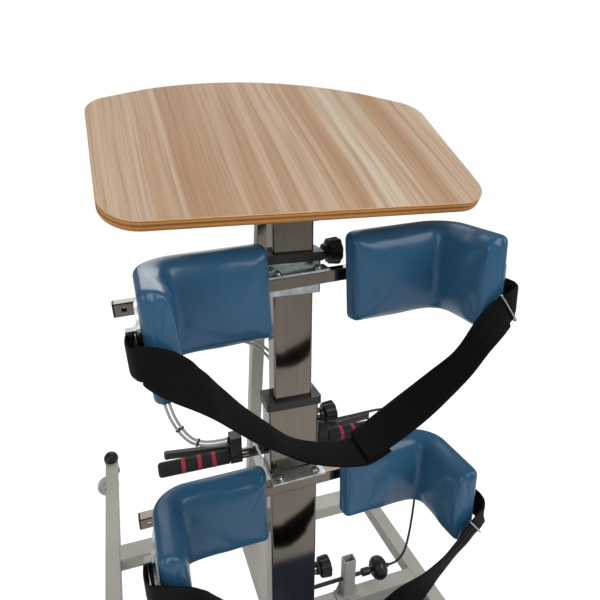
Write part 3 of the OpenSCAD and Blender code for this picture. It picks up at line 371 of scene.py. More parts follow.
framePaint = handledFinish("framePaint", {
    "first": colour(166, 163, 155), "second": colour(152, 149, 141), "patch": 5.0, "grain": 900.0,
    "smooth": 0.34, "rough": 0.46, "bump": 0.06, "edge": 0.0012,
})
# painted reflection: the steel's dark warm grey-brown colours and its vertical colour streaks stand in for the dark
# room it reflects
steelWithPaintedReflection = handledFinish("steelWithPaintedReflection", {
    "first": colour(124, 116, 107), "second": colour(98, 91, 84), "patch": 3.5, "grain": 1400.0,
    "smooth": 0.05, "rough": 0.13, "bump": 0.02, "edge": 0.0012, "metal": 1.0, "streak": (260.0, 260.0, 2.5),
})
zincPlate = handledFinish("zincPlate", {
    "first": colour(178, 184, 184), "second": colour(142, 150, 150), "patch": 38.0, "grain": 1500.0,
    "smooth": 0.2, "rough": 0.36, "bump": 0.05, "edge": 0.0008, "metal": 1.0,
})
blackPlastic = handledFinish("blackPlastic", {
    "first": colour(11, 11, 12), "second": colour(18, 18, 19), "patch": 22.0, "grain": 1300.0,
    "smooth": 0.36, "rough": 0.54, "bump": 0.12,
})
castorPlastic = handledFinish("castorPlastic", {
    "first": colour(14, 14, 15), "second": colour(24, 24, 25), "patch": 16.0, "grain": 900.0,
    "smooth": 0.32, "rough": 0.5, "bump": 0.1,
})
wheelRubber = handledFinish("wheelRubber", {
    "first": colour(188, 188, 184), "second": colour(166, 165, 160), "patch": 14.0, "grain": 700.0,
    "smooth": 0.42, "rough": 0.6, "bump": 0.12,
})
boardBlue = handledFinish("boardBlue", {
    "first": colour(58, 84, 128), "second": colour(46, 69, 108), "patch": 6.0, "grain": 800.0,
    "smooth": 0.38, "rough": 0.55, "bump": 0.1,
})
padSkin = handledFinish("padSkin", {
    "first": colour(40, 82, 112), "second": colour(34, 72, 100), "patch": 5.0, "grain": 950.0,
    "smooth": 0.24, "rough": 0.34, "bump": 0.05, "edge": 0.0004, "coat": 0.12, "coatRough": 0.14,
    "specular": 0.26, "puckers": 14.0,
})
cableGrey = handledFinish("cableGrey", {
    "first": colour(170, 170, 166), "second": colour(146, 146, 142), "patch": 30.0, "grain": 900.0,
    "smooth": 0.35, "rough": 0.5, "bump": 0.08,
})
cableBlack = handledFinish("cableBlack", {
    "first": colour(14, 14, 15), "second": colour(22, 22, 23), "patch": 30.0, "grain": 900.0,
    "smooth": 0.34, "rough": 0.5, "bump": 0.08,
})


def makeStrapFinish():
    # black webbing, a little worn in patches, with its thread a shade lighter
    m, tree, shader, place = startFinish("strapWeb")
    lay = addNode(tree, "ShaderNodeAttribute", attribute_name="strapLay").outputs["Vector"]
    w = addNode(tree, "ShaderNodeGroup", node_tree=webbingGroup)
    tree.links.new(lay, w.inputs["Lay"])
    worn = noise(tree, place, 24.0, 4.0)
    base = mixColour(tree, spread(tree, worn, 0.0, 1.0, 0.35, 0.7), colour(3, 3, 4), colour(6, 6, 8))
    woven = mixColour(tree, spread(tree, w.outputs["Thread"], 0.0, 0.45), base, colour(10, 10, 12))
    sewn = mixColour(tree, w.outputs["Stitch"], woven, colour(21, 21, 24))
    tree.links.new(sewn, shader.inputs["Base Color"])
    tree.links.new(spread(tree, worn, 0.62, 0.82), shader.inputs["Roughness"])
    height = maths(tree, "ADD", w.outputs["Thread"], w.outputs["Stitch"])
    tree.links.new(bumped(tree, height, 0.35, 0.0004), shader.inputs["Normal"])
    shader.inputs["Sheen Weight"].default_value = 0.02
    shader.inputs["Specular IOR Level"].default_value = 0.1
    return m


def makeBoardFinish():
    # laminate with the look of planks: lanes of different tone, straight figure and fine pores along the depth
    m, tree, shader, place = startFinish("trayLaminate")
    turned = addNode(
        tree, "ShaderNodeMapping", {"Vector": place, "Rotation": (math.radians(-29.3), 0, math.radians(-1.5))}
    ).outputs[0]
    bend = noise(tree, turned, 3.0, 1.0)
    part = addNode(tree, "ShaderNodeSeparateXYZ", {0: turned})
    leaned = maths(tree, "ADD", part.outputs[0], maths(tree, "MULTIPLY", bend, 0.014))
    flow = addNode(tree, "ShaderNodeCombineXYZ", {0: leaned, 1: part.outputs[1], 2: 0.0}).outputs[0]

    def streak(stretch, wander):
        k = addNode(tree, "ShaderNodeGroup", node_tree=streakGroup)
        tree.links.new(flow, k.inputs["Coordinates"])
        k.inputs["Stretch"].default_value = stretch
        k.inputs["Wander"].default_value = wander
        return k.outputs["Streak"]

    lane = addNode(
        tree, "ShaderNodeTexVoronoi", {"W": leaned, "Scale": 19.0, "Smoothness": 0.35},
        voronoi_dimensions="1D", feature="SMOOTH_F1",
    )
    tone = addNode(tree, "ShaderNodeSeparateColor", {0: lane.outputs["Color"]}).outputs[0]
    broad = spread(tree, streak((26.0, 0.5, 1.0), 0.1), -0.4, 0.4, 0.3, 0.7)
    planks = addNode(tree, "ShaderNodeValToRGB", {0: maths(tree, "ADD", tone, broad)})
    ramp = planks.color_ramp
    ramp.elements[0].position = 0.05
    ramp.elements[0].color = colour(168, 136, 107)
    ramp.elements[1].position = 0.95
    ramp.elements[1].color = colour(191, 177, 157)
    for at, shade in ((0.3, colour(176, 148, 120)), (0.5, colour(185, 161, 138)), (0.7, colour(179, 154, 128))):
        ramp.elements.new(at).color = shade
    figure = spread(tree, streak((95.0, 1.1, 1.0), 0.2), 0.0, 0.6, 0.48, 0.68)
    pores = spread(tree, streak((430.0, 4.0, 1.0), 0.1), 0.0, 0.5, 0.5, 0.7)
    toned = mixColour(tree, figure, planks.outputs[0], colour(152, 115, 87))
    tint = mixColour(tree, pores, toned, colour(128, 94, 70))
    tree.links.new(tint, shader.inputs["Base Color"])
    tree.links.new(spread(tree, pores, 0.4, 0.52), shader.inputs["Roughness"])
    tree.links.new(bumped(tree, pores, 0.06, 0.0003), shader.inputs["Normal"])
    return m


def makeEdgeFinish():
    # the board's cut edge: warm layers that run round it, with darker glue lines
    m, tree, shader, place = startFinish("trayEdge")
    layer = addNode(tree, "ShaderNodeAttribute", attribute_name="edgeLayer").outputs["Fac"]
    grain = noise(tree, place, 90.0, 4.0)
    ramp = addNode(tree, "ShaderNodeValToRGB", {0: maths(tree, "ADD", layer, spread(tree, grain, -0.05, 0.05))})
    bands = ramp.color_ramp
    bands.elements[0].position = 0.0
    bands.elements[0].color = colour(150, 96, 36)
    bands.elements[1].position = 1.0
    bands.elements[1].color = colour(196, 150, 104)
    tones = (
        (0.34, colour(176, 118, 48)), (0.46, colour(140, 86, 30)), (0.54, colour(108, 64, 22)),
        (0.62, colour(168, 112, 46)), (0.8, colour(186, 128, 58)), (0.9, colour(120, 76, 34)),
    )
    for at, tone in tones:
        bands.elements.new(at).color = tone
    tree.links.new(ramp.outputs[0], shader.inputs["Base Color"])
    tree.links.new(spread(tree, grain, 0.42, 0.58), shader.inputs["Roughness"])
    tree.links.new(bumped(tree, grain, 0.1, 0.0004), shader.inputs["Normal"])
    return m


gripShape = {
    "inner": 0.112, "outer": 0.258, "radius": 0.0155, "barY": 0.075, "barZ": 0.648,
    "bands": (0.1455, 0.175, 0.208), "bandHalf": 0.004, "sides": 48, "end": 0.007, "bore": 0.0111, "boreDeep": 0.02,
    "groove": 0.0005, "grooveHalf": 0.0006, "proud": 0.0003, "lip": 0.002,
}


def makeGripFinish(s):
    # black foam with a red band at each band's distance from the middle
    m, tree, shader, place = startFinish("gripFoam")
    part = addNode(tree, "ShaderNodeSeparateXYZ", {0: place})
    reach = maths(tree, "ABSOLUTE", part.outputs[0])
    red = None
    for centre in s["bands"]:
        hit = maths(tree, "COMPARE", reach, centre)
        hit.node.inputs[2].default_value = s["bandHalf"]
        red = hit if red is None else maths(tree, "MAXIMUM", red, hit)
    pore = noise(tree, place, 900.0, 3.0)
    wear = noise(tree, place, 30.0, 3.0)
    dark = mixColour(tree, wear, colour(7, 7, 8), colour(13, 13, 14))
    bright = mixColour(tree, wear, colour(142, 26, 46), colour(172, 44, 64))
    tree.links.new(mixColour(tree, red, dark, bright), shader.inputs["Base Color"])
    tree.links.new(spread(tree, wear, 0.62, 0.82), shader.inputs["Roughness"])
    tree.links.new(bumped(tree, pore, 0.3, 0.0005), shader.inputs["Normal"])
    return m


strapWeb = makeStrapFinish()
trayLaminate = makeBoardFinish()
trayEdge = makeEdgeFinish()
gripFoam = makeGripFinish(gripShape)
print("finishes made")

cadFinishes = {
    "frame_paint": framePaint,
    "chrome": steelWithPaintedReflection,
    "zinc": zincPlate,
    "black_plastic": blackPlastic,
    "foot_rubber": boardBlue,
    "castor_black": castorPlastic,
    "wheel_grey": wheelRubber,
}
for part in frame["record"]["subparts"]:
    finish = cadFinishes.get(part["material_slot"])
    if finish is None:
        continue
    mesh = nodes[part["node"]].data
    mesh.materials.clear()
    mesh.materials.append(finish)
print("solid pieces finished")

cableShape = {"diameter": 0.006, "sides": 16, "steps": 14, "gap": 0.009}
leftRoute = [
    (-114.5, 75, 687), (-122.5, 75, 687), (-130.5, 75, 687), (-146, 75.5, 687.4), (-165, 76.5, 691), (-188, 79, 703),
    (-208, 82.5, 731), (-223, 88, 768), (-229, 95, 809), (-221, 104, 850), (-196, 110, 885), (-152, 111, 905),
    (-102, 106, 909), (-58, 94, 900), (-26, 75, 879), (-9.5, 58, 853), (-2.5, 48.5, 833), (-0.2, 45.3, 820),
    (0, 45, 810.5), (0, 45, 802.5),
]
rightRoute = [
    (114.5, 75, 687), (122.5, 75, 687), (130.5, 75, 687), (147, 76, 687), (176, 77, 687), (212, 79, 687),
    (250, 81, 685), (289, 86, 671), (322, 91, 635), (346, 94, 579), (362, 94, 511), (371, 92, 446), (373, 89, 386),
    (368, 85, 326), (360, 80, 276), (350, 76, 238), (337, 74, 217), (323, 73, 207), (311.5, 73, 204.3),
    (305.5, 73, 204), (300.5, 73, 204),
]
tieShape = {
    "short": 0.0042, "wire": 0.0008, "flat": 0.0018, "square": 0.7, "points": 40, "sides": 10,
    "at": (62, 84, 106),
}


def cablePath(route, aside, s):
    # set aside from the route in the route's own plane
    path = rowFrame(smoothRoute(route, s["steps"]))
    t = unitRows(np.gradient(path, axis=0))
    return path + aside * unitRows(np.cross(t, [0.0, 1.0, 0.0]))


def addCable(name, path, finish, node, s, ties=()):
    # a round cable that runs between the knee carriage and the base, with what is tied to it
    obj = addPiece(name, ringSkin(tubeRings(path, s["diameter"] / 2, s["sides"])), [finish])
    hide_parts(node)
    for piece in (obj, *ties):
        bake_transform(piece)


def addTies(first, second, s):
    # narrow bands that hold the pair of cables together
    pieces = []
    for k in s["at"]:
        gap = second[k] - first[k]
        along = unitRows(first[k + 1] - first[k - 1])
        centre = (first[k] + second[k]) / 2
        half = np.linalg.norm(gap) / 2 + s["short"]
        skin = wireLoop(centre, along, unitRows(gap), half, s)
        pieces.append(addPiece(f"cableTie{len(pieces) + 1}", skin, [cableBlack]))
    return pieces


leftPair = [cablePath(leftRoute, way * cableShape["gap"], cableShape) for way in (-0.5, 0.5)]
addCable(
    "leftCableA", leftPair[0], cableGrey, "left_cables", cableShape,
    addTies(*leftPair, tieShape),
)
addCable("leftCableB", leftPair[1], cableGrey, "left_cables", cableShape)
addCable(
    "rightCable", cablePath(rightRoute, 0.0, cableShape), cableBlack, "right_cable",
    cableShape,
)
print("cables laid")

strapShape = {
    "wide": 0.076, "thick": 0.003, "across": 33, "steps": 12, "hem": 0.022, "hemStep": 0.0015, "loop": 0.11,
    "cup": 0.0016, "freeRun": 0.04, "endRun": 0.03, "fold": 0.0008, "foldAt": 0.05, "foldFade": 0.06,
    "bendFrom": 0.02, "bendTo": 0.235,
}
pinX, pinY, pinTurn = 287.1, -194.0, 5.0  # anchor pin's place in millimetres, and the turn round it
wingOut = 272
strapFront = -242
gathered = 46  # width round the pin


def loopRoute(out, rise):
    # stations of a strap: distance from the middle, depth, height over the crossbar, lean from upright, width
    turn = np.linspace(math.pi, 0, 5)
    x = pinX + out
    loop = [(x + pinTurn * math.cos(a), pinY + pinTurn * math.sin(a), rise, 0, gathered) for a in turn]
    tail = [(x - pinTurn, pinY - 36, rise, 0, gathered), (x - pinTurn, pinY - 12, rise, 0, gathered)]
    return tail + loop + [
        (x + pinTurn + 1, pinY - 24, rise, 0, gathered), (wingOut + out + 14, strapFront + 6, rise - 1, 0, gathered),
    ]


def hipLeftRoute(out):
    return loopRoute(out, -24) + [
        (wingOut + out + 2, strapFront, -25, 0, 52), (wingOut + out - 12, strapFront - 3, -32, 10, 55),
        (wingOut + out - 32, strapFront - 4, -47, 23, 58), (214, -243, -65, 36, 61), (194, -232, -88, 47, 66),
        (170, -214, -123, 60, 69), (140, -203, -161, 72, 71), (105, -198, -195, 82, 72), (70, -197, -225, 91, 74),
        (30, -198, -243, 93, 76), (-10, -199, -252, 91, 76), (-40, -199, -252, 88, 76), (-75, -199, -236, 84, 76),
    ]


def hipRightRoute(out):
    return loopRoute(out, -4) + [
        (wingOut + out + 2, strapFront, -8, 0, 48), (wingOut + out - 12, strapFront - 2, -17, 8, 48),
        (wingOut + out - 27, strapFront - 4, -28, 24, 48), (225, -246, -59, 44, 46), (200, -236, -103, 56, 49),
        (170, -221, -143, 64, 59), (140, -209, -177, 70, 67), (105, -200, -208, 76, 72), (70, -197, -231, 83, 75),
        (38, -196, -247, 88, 76),
    ]


def kneeLeftRoute(out):
    return loopRoute(out, 18) + [
        (wingOut + out + 2, strapFront, 18, 0, 50), (wingOut + out - 12, strapFront - 3, 10, 4, 52),
        (wingOut + out - 32, strapFront - 4, -7, 16, 54), (222, -246, -32, 30, 57), (198, -236, -68, 43, 61),
        (170, -220, -116, 57, 65), (140, -208, -168, 68, 68), (105, -200, -226, 78, 71), (70, -197, -274, 86, 73),
        (30, -197, -312, 90, 76), (-10, -198, -327, 91, 76), (-40, -199, -324, 88, 76), (-75, -199, -299, 84, 76),
    ]


def kneeRightRoute(out):
    return loopRoute(out, -4) + [
        (wingOut + out + 2, strapFront, -14, 0, 44), (wingOut + out - 14, strapFront - 3, -27, -4, 42),
        (wingOut + out - 34, strapFront - 5, -47, -8, 42), (216, -246, -82, -13, 42), (191, -238, -120, -11, 44),
        (169, -227, -158, 0, 46), (145, -214, -203, 24, 51), (115, -204, -250, 56, 59), (75, -198, -293, 80, 70),
        (38, -196, -318, 88, 76),
    ]


def strapSkin(route, side, level, s):
    # a flat section carried along the stations and leaned with them: rounded edges, lightly cupped, doubled hems
    p = smoothRoute(route, s["steps"])
    path = p[:, :3] / 1000
    path[:, 2] -= side * math.tan(math.radians(levels[level]["lean"])) * path[:, 0]
    lean = np.radians(p[:, 3])
    wide = p[:, 4] / 1000
    t = unitRows(np.gradient(path, axis=0))
    up = np.stack([0 * lean, np.sin(lean), np.cos(lean)], 1)
    across = unitRows(up - (up * t).sum(1, keepdims=True) * t)
    normal = np.cross(t, across)
    run = np.concatenate([[0], np.cumsum(np.linalg.norm(np.diff(path, axis=0), axis=1))])
    fromEnd = np.minimum(run, run[-1] - run)
    thick = s["thick"] * (1 + 0.5 * np.clip((s["hem"] - run[-1] + run) / s["hemStep"], 0, 1))
    a = np.linspace(-1, 1, s["across"])
    rounded = np.sqrt(np.clip(1 - a**10, 0, 1))
    a = np.concatenate([a, a[-2:0:-1]])
    face = np.concatenate([rounded, -rounded[-2:0:-1]])
    free = np.clip((run - s["loop"]) / s["freeRun"], 0, 1) * np.clip(fromEnd / s["endRun"], 0, 1)
    fade = np.exp(-np.abs(run - s["loop"] - s["foldAt"]) / s["foldFade"])
    folds = np.cos(3 * math.pi * a)[None] * s["fold"] * fade[:, None]
    offset = ((a**2 - 0.4)[None] * s["cup"] + folds) * free[:, None] + face[None] * thick[:, None] / 2
    sideways = a[None] * wide[:, None] / 2
    rings = path[:, None] + across[:, None] * sideways[..., None] + normal[:, None] * offset[..., None]
    rings = leanedPoints(rings * np.array([side, 1, 1]), level)
    lay = np.stack(np.broadcast_arrays(run[:, None], sideways, a[None]), -1)
    return rings, lay, float(run[-1]), float(np.trapz(wide, run))


slideShape = {
    "past": 0.004, "short": 0.0042, "wire": 0.0016, "flat": 0.0016, "square": 0.4, "points": 64, "sides": 14,
    "at": 117,
}


def addSlide(name, strap, body, s):
    # a wire slide round the strap where it leaves the wing
    here = strap[s["at"]]
    edge = here[strapShape["across"] - 1] - here[0]
    along = unitRows(strap[s["at"] + 1].mean(0) - strap[s["at"] - 1].mean(0))
    skin = wireLoop(here.mean(0), along, unitRows(edge), np.linalg.norm(edge) / 2 + s["past"], s)
    obj = addPiece(name, skin, [zincPlate])
    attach(obj, body)
    return obj


def addStrap(level, word, side, route, s):
    # a strap that runs between its carriage and its pad, and on the right the slide that rides on it
    rings, lay, length, area = strapSkin(route(levels[level]["out"][word]), side, level, s)
    name = level + word.capitalize() + "Strap"
    obj = addPiece(name, ringSkin(rings), [strapWeb])
    record = obj.data.attributes.new("strapLay", "FLOAT_VECTOR", "POINT")
    record.data.foreach_set("vector", lay.reshape(-1).astype(np.float32))
    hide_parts(f"{level}_{word}_strap")
    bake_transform(obj)
    slide = [addSlide(level + "StrapSlide", rings, f"{level}_right", slideShape)] if word == "right" else []


for level, left, right in (("hip", hipLeftRoute, hipRightRoute), ("knee", kneeLeftRoute, kneeRightRoute)):
    addStrap(level, "left", -1, left, strapShape)
    addStrap(level, "right", 1, right, strapShape)
print("straps hung")

padShape = {
    "thick": 0.050, "high": 0.160, "inner": 0.067, "out": 0.272, "end": 0.1885, "bend": 0.012,
    "edge": 0.020, "backEdge": 0.010, "crown": 0.004, "draw": 0.016, "behind": 0.0193,
    "start": 0.0025, "cap": 0.004, "pressure": 4.0, "stiff": 25, "bendStiff": 6, "frames": 20, "calm": 0.06,
    "held": 0.012, "freeing": 0.02,
}


def padSection(inset, s):
    # rounded box in depth and height: small corners behind, large ones in front and a crowned face
    inset = inset[:, None]
    a = s["thick"] / 2 - inset
    b = s["high"] / 2 - inset
    rf = np.maximum(s["edge"] - 0.7 * inset, 0.003)
    rb = np.maximum(s["backEdge"] - 0.5 * inset, 0.002)
    c = s["crown"] * np.clip(1 - inset / 0.008, 0, 1)
    q = np.linspace(0, math.pi / 2, 9)[None]
    part = np.linspace(0, 1, 18)[None, 1:-1]
    flat = np.linspace(0, 1, 5)[None, 1:-1]
    back = np.linspace(0, 1, 16)[None, 1:-1]
    top0 = 0 * inset + rb - a
    top1 = a - c - rf
    depth = [
        rb - a - rb * np.cos(q), top0 + (top1 - top0) * flat, a - c - rf + rf * np.sin(q),
        a - c + c * np.sin(math.pi * part), a - c - rf + rf * np.cos(q), top1 + (top0 - top1) * flat,
        rb - a - rb * np.sin(q), -a + 0 * back,
    ]
    height = [
        b - rb + rb * np.sin(q), b + 0 * flat, b - rf + rf * np.cos(q), (b - rf) * (1 - 2 * part),
        rf - b - rf * np.sin(q), 0 * flat - b, rb - b - rb * np.cos(q), (b - rb) * (2 * back - 1),
    ]
    return np.concatenate(depth, 1), np.concatenate(height, 1)


def padRings(s):
    # sections carried along an L: straight panel, quarter bend, wing, drawn in at both ends
    r = s["bend"] + s["thick"] / 2
    wingX = s["out"] - s["thick"] / 2
    bendX = wingX - r
    midY = -s["behind"] - s["thick"] / 2
    bendY = midY - r
    draw = s["draw"]
    q = np.linspace(0, math.pi / 2, 9)
    turn = np.linspace(0, math.pi / 2, 25)
    straight = np.linspace(s["inner"] + draw, bendX, 18)[1:-1]
    wing = np.linspace(bendY, draw - s["end"], 10)[1:-1]
    x = np.concatenate([
        s["inner"] + draw * (1 - np.cos(q)), straight, bendX + r * np.sin(turn), 0 * wing + wingX, 0 * q + wingX,
    ])
    y = np.concatenate([
        0 * q + midY, 0 * straight + midY, bendY + r * np.cos(turn), wing,
        -s["end"] + draw * (1 - np.cos(q[::-1])),
    ])
    facing = np.concatenate([0 * q, 0 * straight, turn, 0 * wing + math.pi / 2, 0 * q + math.pi / 2])
    inset = np.concatenate([
        draw * (1 - np.sin(q)), 0 * straight, 0 * turn, 0 * wing, draw * (1 - np.sin(q[::-1])),
    ])
    depth, height = padSection(inset, s)
    rings = np.stack([
        x[:, None] - np.sin(facing)[:, None] * depth, y[:, None] - np.cos(facing)[:, None] * depth, height,
    ], -1)
    run = np.concatenate([[0], np.cumsum(np.hypot(np.diff(x), np.diff(y)))])
    fromBend = np.abs(run - np.interp(math.pi / 4, facing, run))
    calm = np.exp(-((fromBend / s["calm"]) ** 2))[:, None]
    front = np.clip((depth + s["thick"] / 2 - s["held"]) / s["freeing"], 0, 1)

    def shrunk(ring, share):
        middle = ring.mean(1, keepdims=True)
        return middle + (ring - middle) * share

    def padOut(rows):
        return np.concatenate([rows[:1], rows[:1], rows, rows[-1:], rows[-1:]])

    closing = [shrunk(rings[:1], k) for k in (0.3, 0.65)]
    ending = [shrunk(rings[-1:], k) for k in (0.65, 0.3)]
    return np.concatenate(closing + [rings] + ending), padOut(front * (1 - calm)), padOut(front * calm)


def swellPad(s):
    # the cover starts a little small in front, is blown up against its pinned back, and the swelling is capped
    rings, soft, bent = padRings(s)
    skin = ringSkin(rings)
    obj = addPiece("padCover", skin, [padSkin])
    mesh = obj.data
    count = len(mesh.vertices)
    rest = np.empty(count * 3, np.float32)
    mesh.vertices.foreach_get("co", rest)
    rest = rest.reshape(-1, 3)
    out = np.empty(count * 3, np.float32)
    mesh.vertex_normals.foreach_get("vector", out)
    weight = soft.reshape(-1, 1)
    start = rest - out.reshape(-1, 3) * s["start"] * weight
    result = rest
    mesh.vertices.foreach_set("co", start.astype(np.float32).ravel())
    mesh.update()
    pins = obj.vertex_groups.new(name="pinned")
    pins.add(np.flatnonzero(weight[:, 0] < 0.05).tolist(), 1.0, "REPLACE")
    cloth = obj.modifiers.new("swell", "CLOTH")
    cloth.settings.vertex_group_mass = "pinned"
    cloth.settings.use_pressure = True
    cloth.settings.uniform_pressure_force = s["pressure"]
    cloth.settings.effector_weights.gravity = 0
    cloth.settings.tension_stiffness = s["stiff"]
    cloth.settings.compression_stiffness = s["stiff"]
    cloth.settings.bending_stiffness = s["bendStiff"]
    cloth.point_cache.frame_end = s["frames"]
    for step in range(1, s["frames"] + 1):
        scene.frame_set(step)
    swollen = obj.evaluated_get(bpy.context.evaluated_depsgraph_get()).data
    moved = np.empty(count * 3, np.float32)
    swollen.vertices.foreach_get("co", moved)
    shift = moved.reshape(-1, 3) - start
    far = np.linalg.norm(shift, axis=1, keepdims=True)
    result = start + shift * np.minimum(1, s["cap"] / np.maximum(far, 1e-9))
    scene.frame_set(1)
    bpy.data.objects.remove(obj)
    return result, skin[1], np.flatnonzero(bent.reshape(-1) > 0.15).tolist()


padCover, padFaces, padBend = swellPad(padShape)
print("pad cover shaped")


def addPad(level, word, side, cover, faces, bend):
    # the cover slid, mirrored and leaned to its place, with its bend eased and the whole lightly relaxed
    s = levels[level]
    slid = cover + np.array([s["out"][word] / 1000, -s["depth"], 0])
    place = leanedPoints(slid * np.array([side, 1, 1]), level)
    obj = addPiece(level + word.capitalize() + "Pad", (place, faces), [padSkin])
    obj.vertex_groups.new(name="bend").add(bend, 1.0, "REPLACE")
    for name, group, turns in (("ease", "bend", 120), ("relax", "", 4)):
        relax = obj.modifiers.new(name, "SMOOTH")
        relax.factor = 0.5
        relax.iterations = turns
        relax.vertex_group = group
    finer = obj.modifiers.new("round", "SUBSURF")
    finer.levels = 1
    finer.render_levels = 1
    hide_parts(f"{level}_{word}_pad")
    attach(obj, f"{level}_{word}")


for level in ("hip", "knee"):
    for word, side in (("left", -1), ("right", 1)):
        addPad(level, word, side, padCover, padFaces, padBend)
print("pads placed")

trayShape = {
    "tilt": 29.3, "thick": 18.0, "depth": 393.0, "near": 305.0, "far": 312.0, "bulge": 83.0, "corner": 57.0,
    "reach": 174.0, "rise": 30.5, "pivot": (0.0, 30.0, 1240.0), "arc": 20,
    "edge": (
        (1.6, 0.0), (0.5, 0.45), (0.0, 1.6), (0.0, 9.2), (0.45, 9.6), (0.0, 10.0), (0.0, 15.6), (0.35, 16.0),
        (0.0, 16.4), (0.1, 17.2), (0.5, 17.75), (1.4, 18.0),
    ),
}


def trayCorner(a, b, c, r, count):
    # arc of radius r that rounds the corner at b between the edges to a and c
    a, b, c = (np.asarray(p, float) for p in (a, b, c))
    u, v = unitRows(a - b), unitRows(c - b)
    half = math.acos(float(u @ v)) / 2
    m = b + unitRows(u + v) * r / math.sin(half)
    first = b + u * r / math.tan(half) - m
    angle = math.atan2(first[1], first[0]) + (math.pi - 2 * half) * np.linspace(0, 1, count)
    return m + r * np.stack([np.cos(angle), np.sin(angle)], 1)


def trayOutline(s):
    # straight near edge, splayed sides and a bowed far edge, right half then its mirror
    bow = (s["far"] ** 2 + s["bulge"] ** 2) / (2 * s["bulge"])
    bowY = s["depth"] - bow
    wide = math.asin(s["far"] / bow)
    near, far = (s["near"], 0.0), (s["far"], s["depth"] - s["bulge"])
    inBow = (bow * math.sin(wide * 0.7), bowY + bow * math.cos(wide * 0.7))
    sweep = wide * np.linspace(0.66, 0, 24)
    right = np.concatenate([
        trayCorner((0, 0), near, far, s["corner"], s["arc"]),
        trayCorner(near, far, inBow, s["corner"] * 0.9, s["arc"]),
        np.stack([bow * np.sin(sweep), bowY + bow * np.cos(sweep)], 1),
    ])
    left = right[-2::-1] * np.array([-1, 1])
    return np.concatenate([right, left])


def addTray(s):
    # the edge's profile of inset and height, carried round the outline, with flat faces above and below
    line = trayOutline(s)
    t = unitRows(np.roll(line, -1, 0) - np.roll(line, 1, 0))
    inward = np.stack([-t[:, 1], t[:, 0]], 1)
    profile = np.array(s["edge"])
    flat = line[None] + inward[None] * profile[:, None, :1]
    y = flat[..., 1] - s["reach"]
    z = np.broadcast_to(profile[:, None, 1] + s["rise"], y.shape)
    tilt = math.radians(s["tilt"])
    deep = y * math.cos(tilt) - z * math.sin(tilt)
    high = y * math.sin(tilt) + z * math.cos(tilt)
    rings = rowFrame(np.stack([flat[..., 0], deep, high], -1) + np.array(s["pivot"]))
    obj = addPiece("trayBoard", ringSkin(rings), [trayLaminate, trayEdge], smooth=False)
    mesh = obj.data
    sides = np.zeros(len(mesh.polygons), np.int32)
    sides[:-2] = 1
    mesh.polygons.foreach_set("material_index", sides)
    layer = mesh.attributes.new("edgeLayer", "FLOAT", "POINT")
    layer.data.foreach_set("value", np.repeat(profile[:, 1] / s["thick"], len(line)).astype(np.float32))
    mesh.polygons.foreach_set("use_smooth", sides.astype(bool))
    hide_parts("table_top")
    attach(obj, "table")


addTray(trayShape)
print("tray made")


def addGrips(s):
    # turned foam sleeve: lipped at the lever, three shallow red bands and a rounded end
    end = s["end"]
    x = np.linspace(s["inner"], s["outer"] - end, 160)
    r = np.full(len(x), s["radius"])
    for centre in s["bands"]:
        gap = np.abs(x - centre)
        groove = np.exp(-(((gap - s["bandHalf"]) / s["grooveHalf"]) ** 2))
        r = r - s["groove"] * groove + s["proud"] * (gap < s["bandHalf"])
    r = r - s["lip"] * np.clip(1 - (x - s["inner"]) / s["lip"], 0, 1) ** 2
    a = np.linspace(0, math.pi / 2, 12)[1:]
    x = np.concatenate([x, s["outer"] - end + end * np.sin(a)])
    r = np.concatenate([r, s["radius"] - end + end * np.cos(a)])
    hole = [[s["inner"] + s["boreDeep"], s["bore"]], [s["inner"], s["bore"]]]
    profile = np.concatenate([hole, np.stack([x, r], 1), [[s["outer"], 0.0008]]])
    centre = (0, columnY + s["barY"], s["barZ"])
    skins = []
    for side in (-1, 1):
        skins.append(ringSkin(turnedRings(profile, centre, (side, 0, 0), s["sides"])))
    obj = addPiece("gripSleeves", joinSkins(skins), [gripFoam])
    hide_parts("grips")
    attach(obj, "knee_carriage")


addGrips(gripShape)

treadShape = {
    "inner": 0.052, "outer": 0.362, "front": -0.302, "back": 0.044, "z": 0.105, "base": 0.0016, "rib": 0.0009,
    "pitch": 0.009, "chamfer": 0.003, "least": 0.0002, "clear": 0.00005, "drop": 0.15,
}


def addTread(s):
    # a profile of low rounded ribs, carried across the board on each side of the spine
    y = np.linspace(s["front"], s["back"], 460)
    rib = 0.5 - 0.5 * np.cos(2 * math.pi * (y - s["front"]) / s["pitch"])
    edge = np.clip(np.minimum(y - s["front"], s["back"] - y) / s["chamfer"], 0, 1)
    top = (s["base"] + s["rib"] * rib**1.5) * edge + s["least"]
    section = np.stack([np.concatenate([y, y[::-1]]), np.concatenate([top, 0 * y + s["clear"]])], 1)
    x = np.array([s["inner"], s["inner"] + s["chamfer"], s["outer"] - s["chamfer"], s["outer"]])
    rise = np.array([s["drop"], 1, 1, s["drop"]])
    skins = []
    for side in (-1, 1):
        rings = np.stack(np.broadcast_arrays(
            side * x[:, None], columnY + section[None, :, 0], s["z"] + section[None, :, 1] * rise[:, None],
        ), -1)
        skins.append(ringSkin(rings))
    obj = addPiece("footTread", joinSkins(skins), [boardBlue], smooth=False)
    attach(obj, "base")


addTread(treadShape)
print("grips and tread made")

studio = {
    "floor": colour(246, 246, 245), "shade": colour(243, 243, 242), "size": 14.0, "glow": 1.36, "glowShare": 0.6,
    "lamps": (
        ("key", (1.6, -2.3, 3.2), (0, -0.1, 0.85), 2.6, 75.0),
        ("fill", (-2.4, -1.8, 2.2), (0, -0.1, 0.8), 2.4, 30.0),
        ("back", (0.4, 2.8, 2.6), (0, 0, 0.8), 2.6, 34.0),
    ),
    "world": 0.55, "mirrored": 0.22,
}


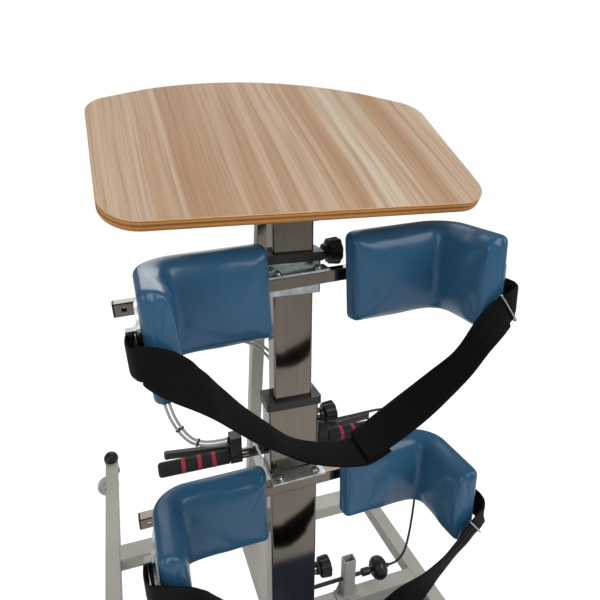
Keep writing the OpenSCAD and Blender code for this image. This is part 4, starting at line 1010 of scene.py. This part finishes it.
def addStudio(s):
    # paper floor that is white to the camera and keeps the shadow, a pale room and three soft lamps
    half = s["size"] / 2
    corners = np.array([(-half, -half, 0), (half, -half, 0), (half, half, 0), (-half, half, 0)], float)
    m = bpy.data.materials.new("floorPaper")
    m.use_nodes = True
    tree = m.node_tree
    shader = tree.nodes["Principled BSDF"]
    grain = addNode(tree, "ShaderNodeTexNoise", {"Scale": 3.0, "Detail": 3.0}).outputs["Fac"]
    tree.links.new(mixColour(tree, grain, s["floor"], s["shade"]), shader.inputs["Base Color"])
    shader.inputs["Roughness"].default_value = 0.8
    shader.inputs["Specular IOR Level"].default_value = 0.1
    seen = addNode(tree, "ShaderNodeLightPath").outputs["Is Camera Ray"]
    glow = addNode(tree, "ShaderNodeEmission", {"Color": (1, 1, 1, 1), "Strength": s["glow"]})
    pale = addNode(tree, "ShaderNodeMixShader", {0: maths(tree, "MULTIPLY", seen, s["glowShare"])})
    tree.links.new(shader.outputs[0], pale.inputs[1])
    tree.links.new(glow.outputs[0], pale.inputs[2])
    tree.links.new(pale.outputs[0], tree.nodes["Material Output"].inputs["Surface"])
    mesh = bpy.data.meshes.new("floor")
    mesh.from_pydata(corners.tolist(), [], [(0, 1, 2, 3)])
    mesh.materials.append(m)
    floor = bpy.data.objects.new("floor", mesh)
    scene.collection.objects.link(floor)

    world = bpy.data.worlds.new("paleRoom")
    scene.world = world
    world.use_nodes = True
    tree = world.node_tree
    ray = addNode(tree, "ShaderNodeLightPath")
    seen = maths(tree, "MAXIMUM", ray.outputs["Is Camera Ray"], ray.outputs["Is Transmission Ray"])
    unseen = spread(tree, ray.outputs["Is Glossy Ray"], s["world"], s["mirrored"])
    strength = addNode(tree, "ShaderNodeMix", {0: seen, 2: unseen, 3: 1.0}, data_type="FLOAT")
    tree.nodes["Background"].inputs["Color"].default_value = (1, 1, 1, 1)
    tree.links.new(strength.outputs[0], tree.nodes["Background"].inputs["Strength"])
    for name, place, target, size, power in s["lamps"]:
        data = bpy.data.lights.new(name, "AREA")
        data.shape = "DISK"
        data.size = size
        data.energy = power
        lamp = bpy.data.objects.new(name, data)
        lamp.location = place
        lamp.rotation_euler = (Vector(target) - Vector(place)).to_track_quat("-Z", "Y").to_euler()
        scene.collection.objects.link(lamp)


addStudio(studio)
print("studio lit")
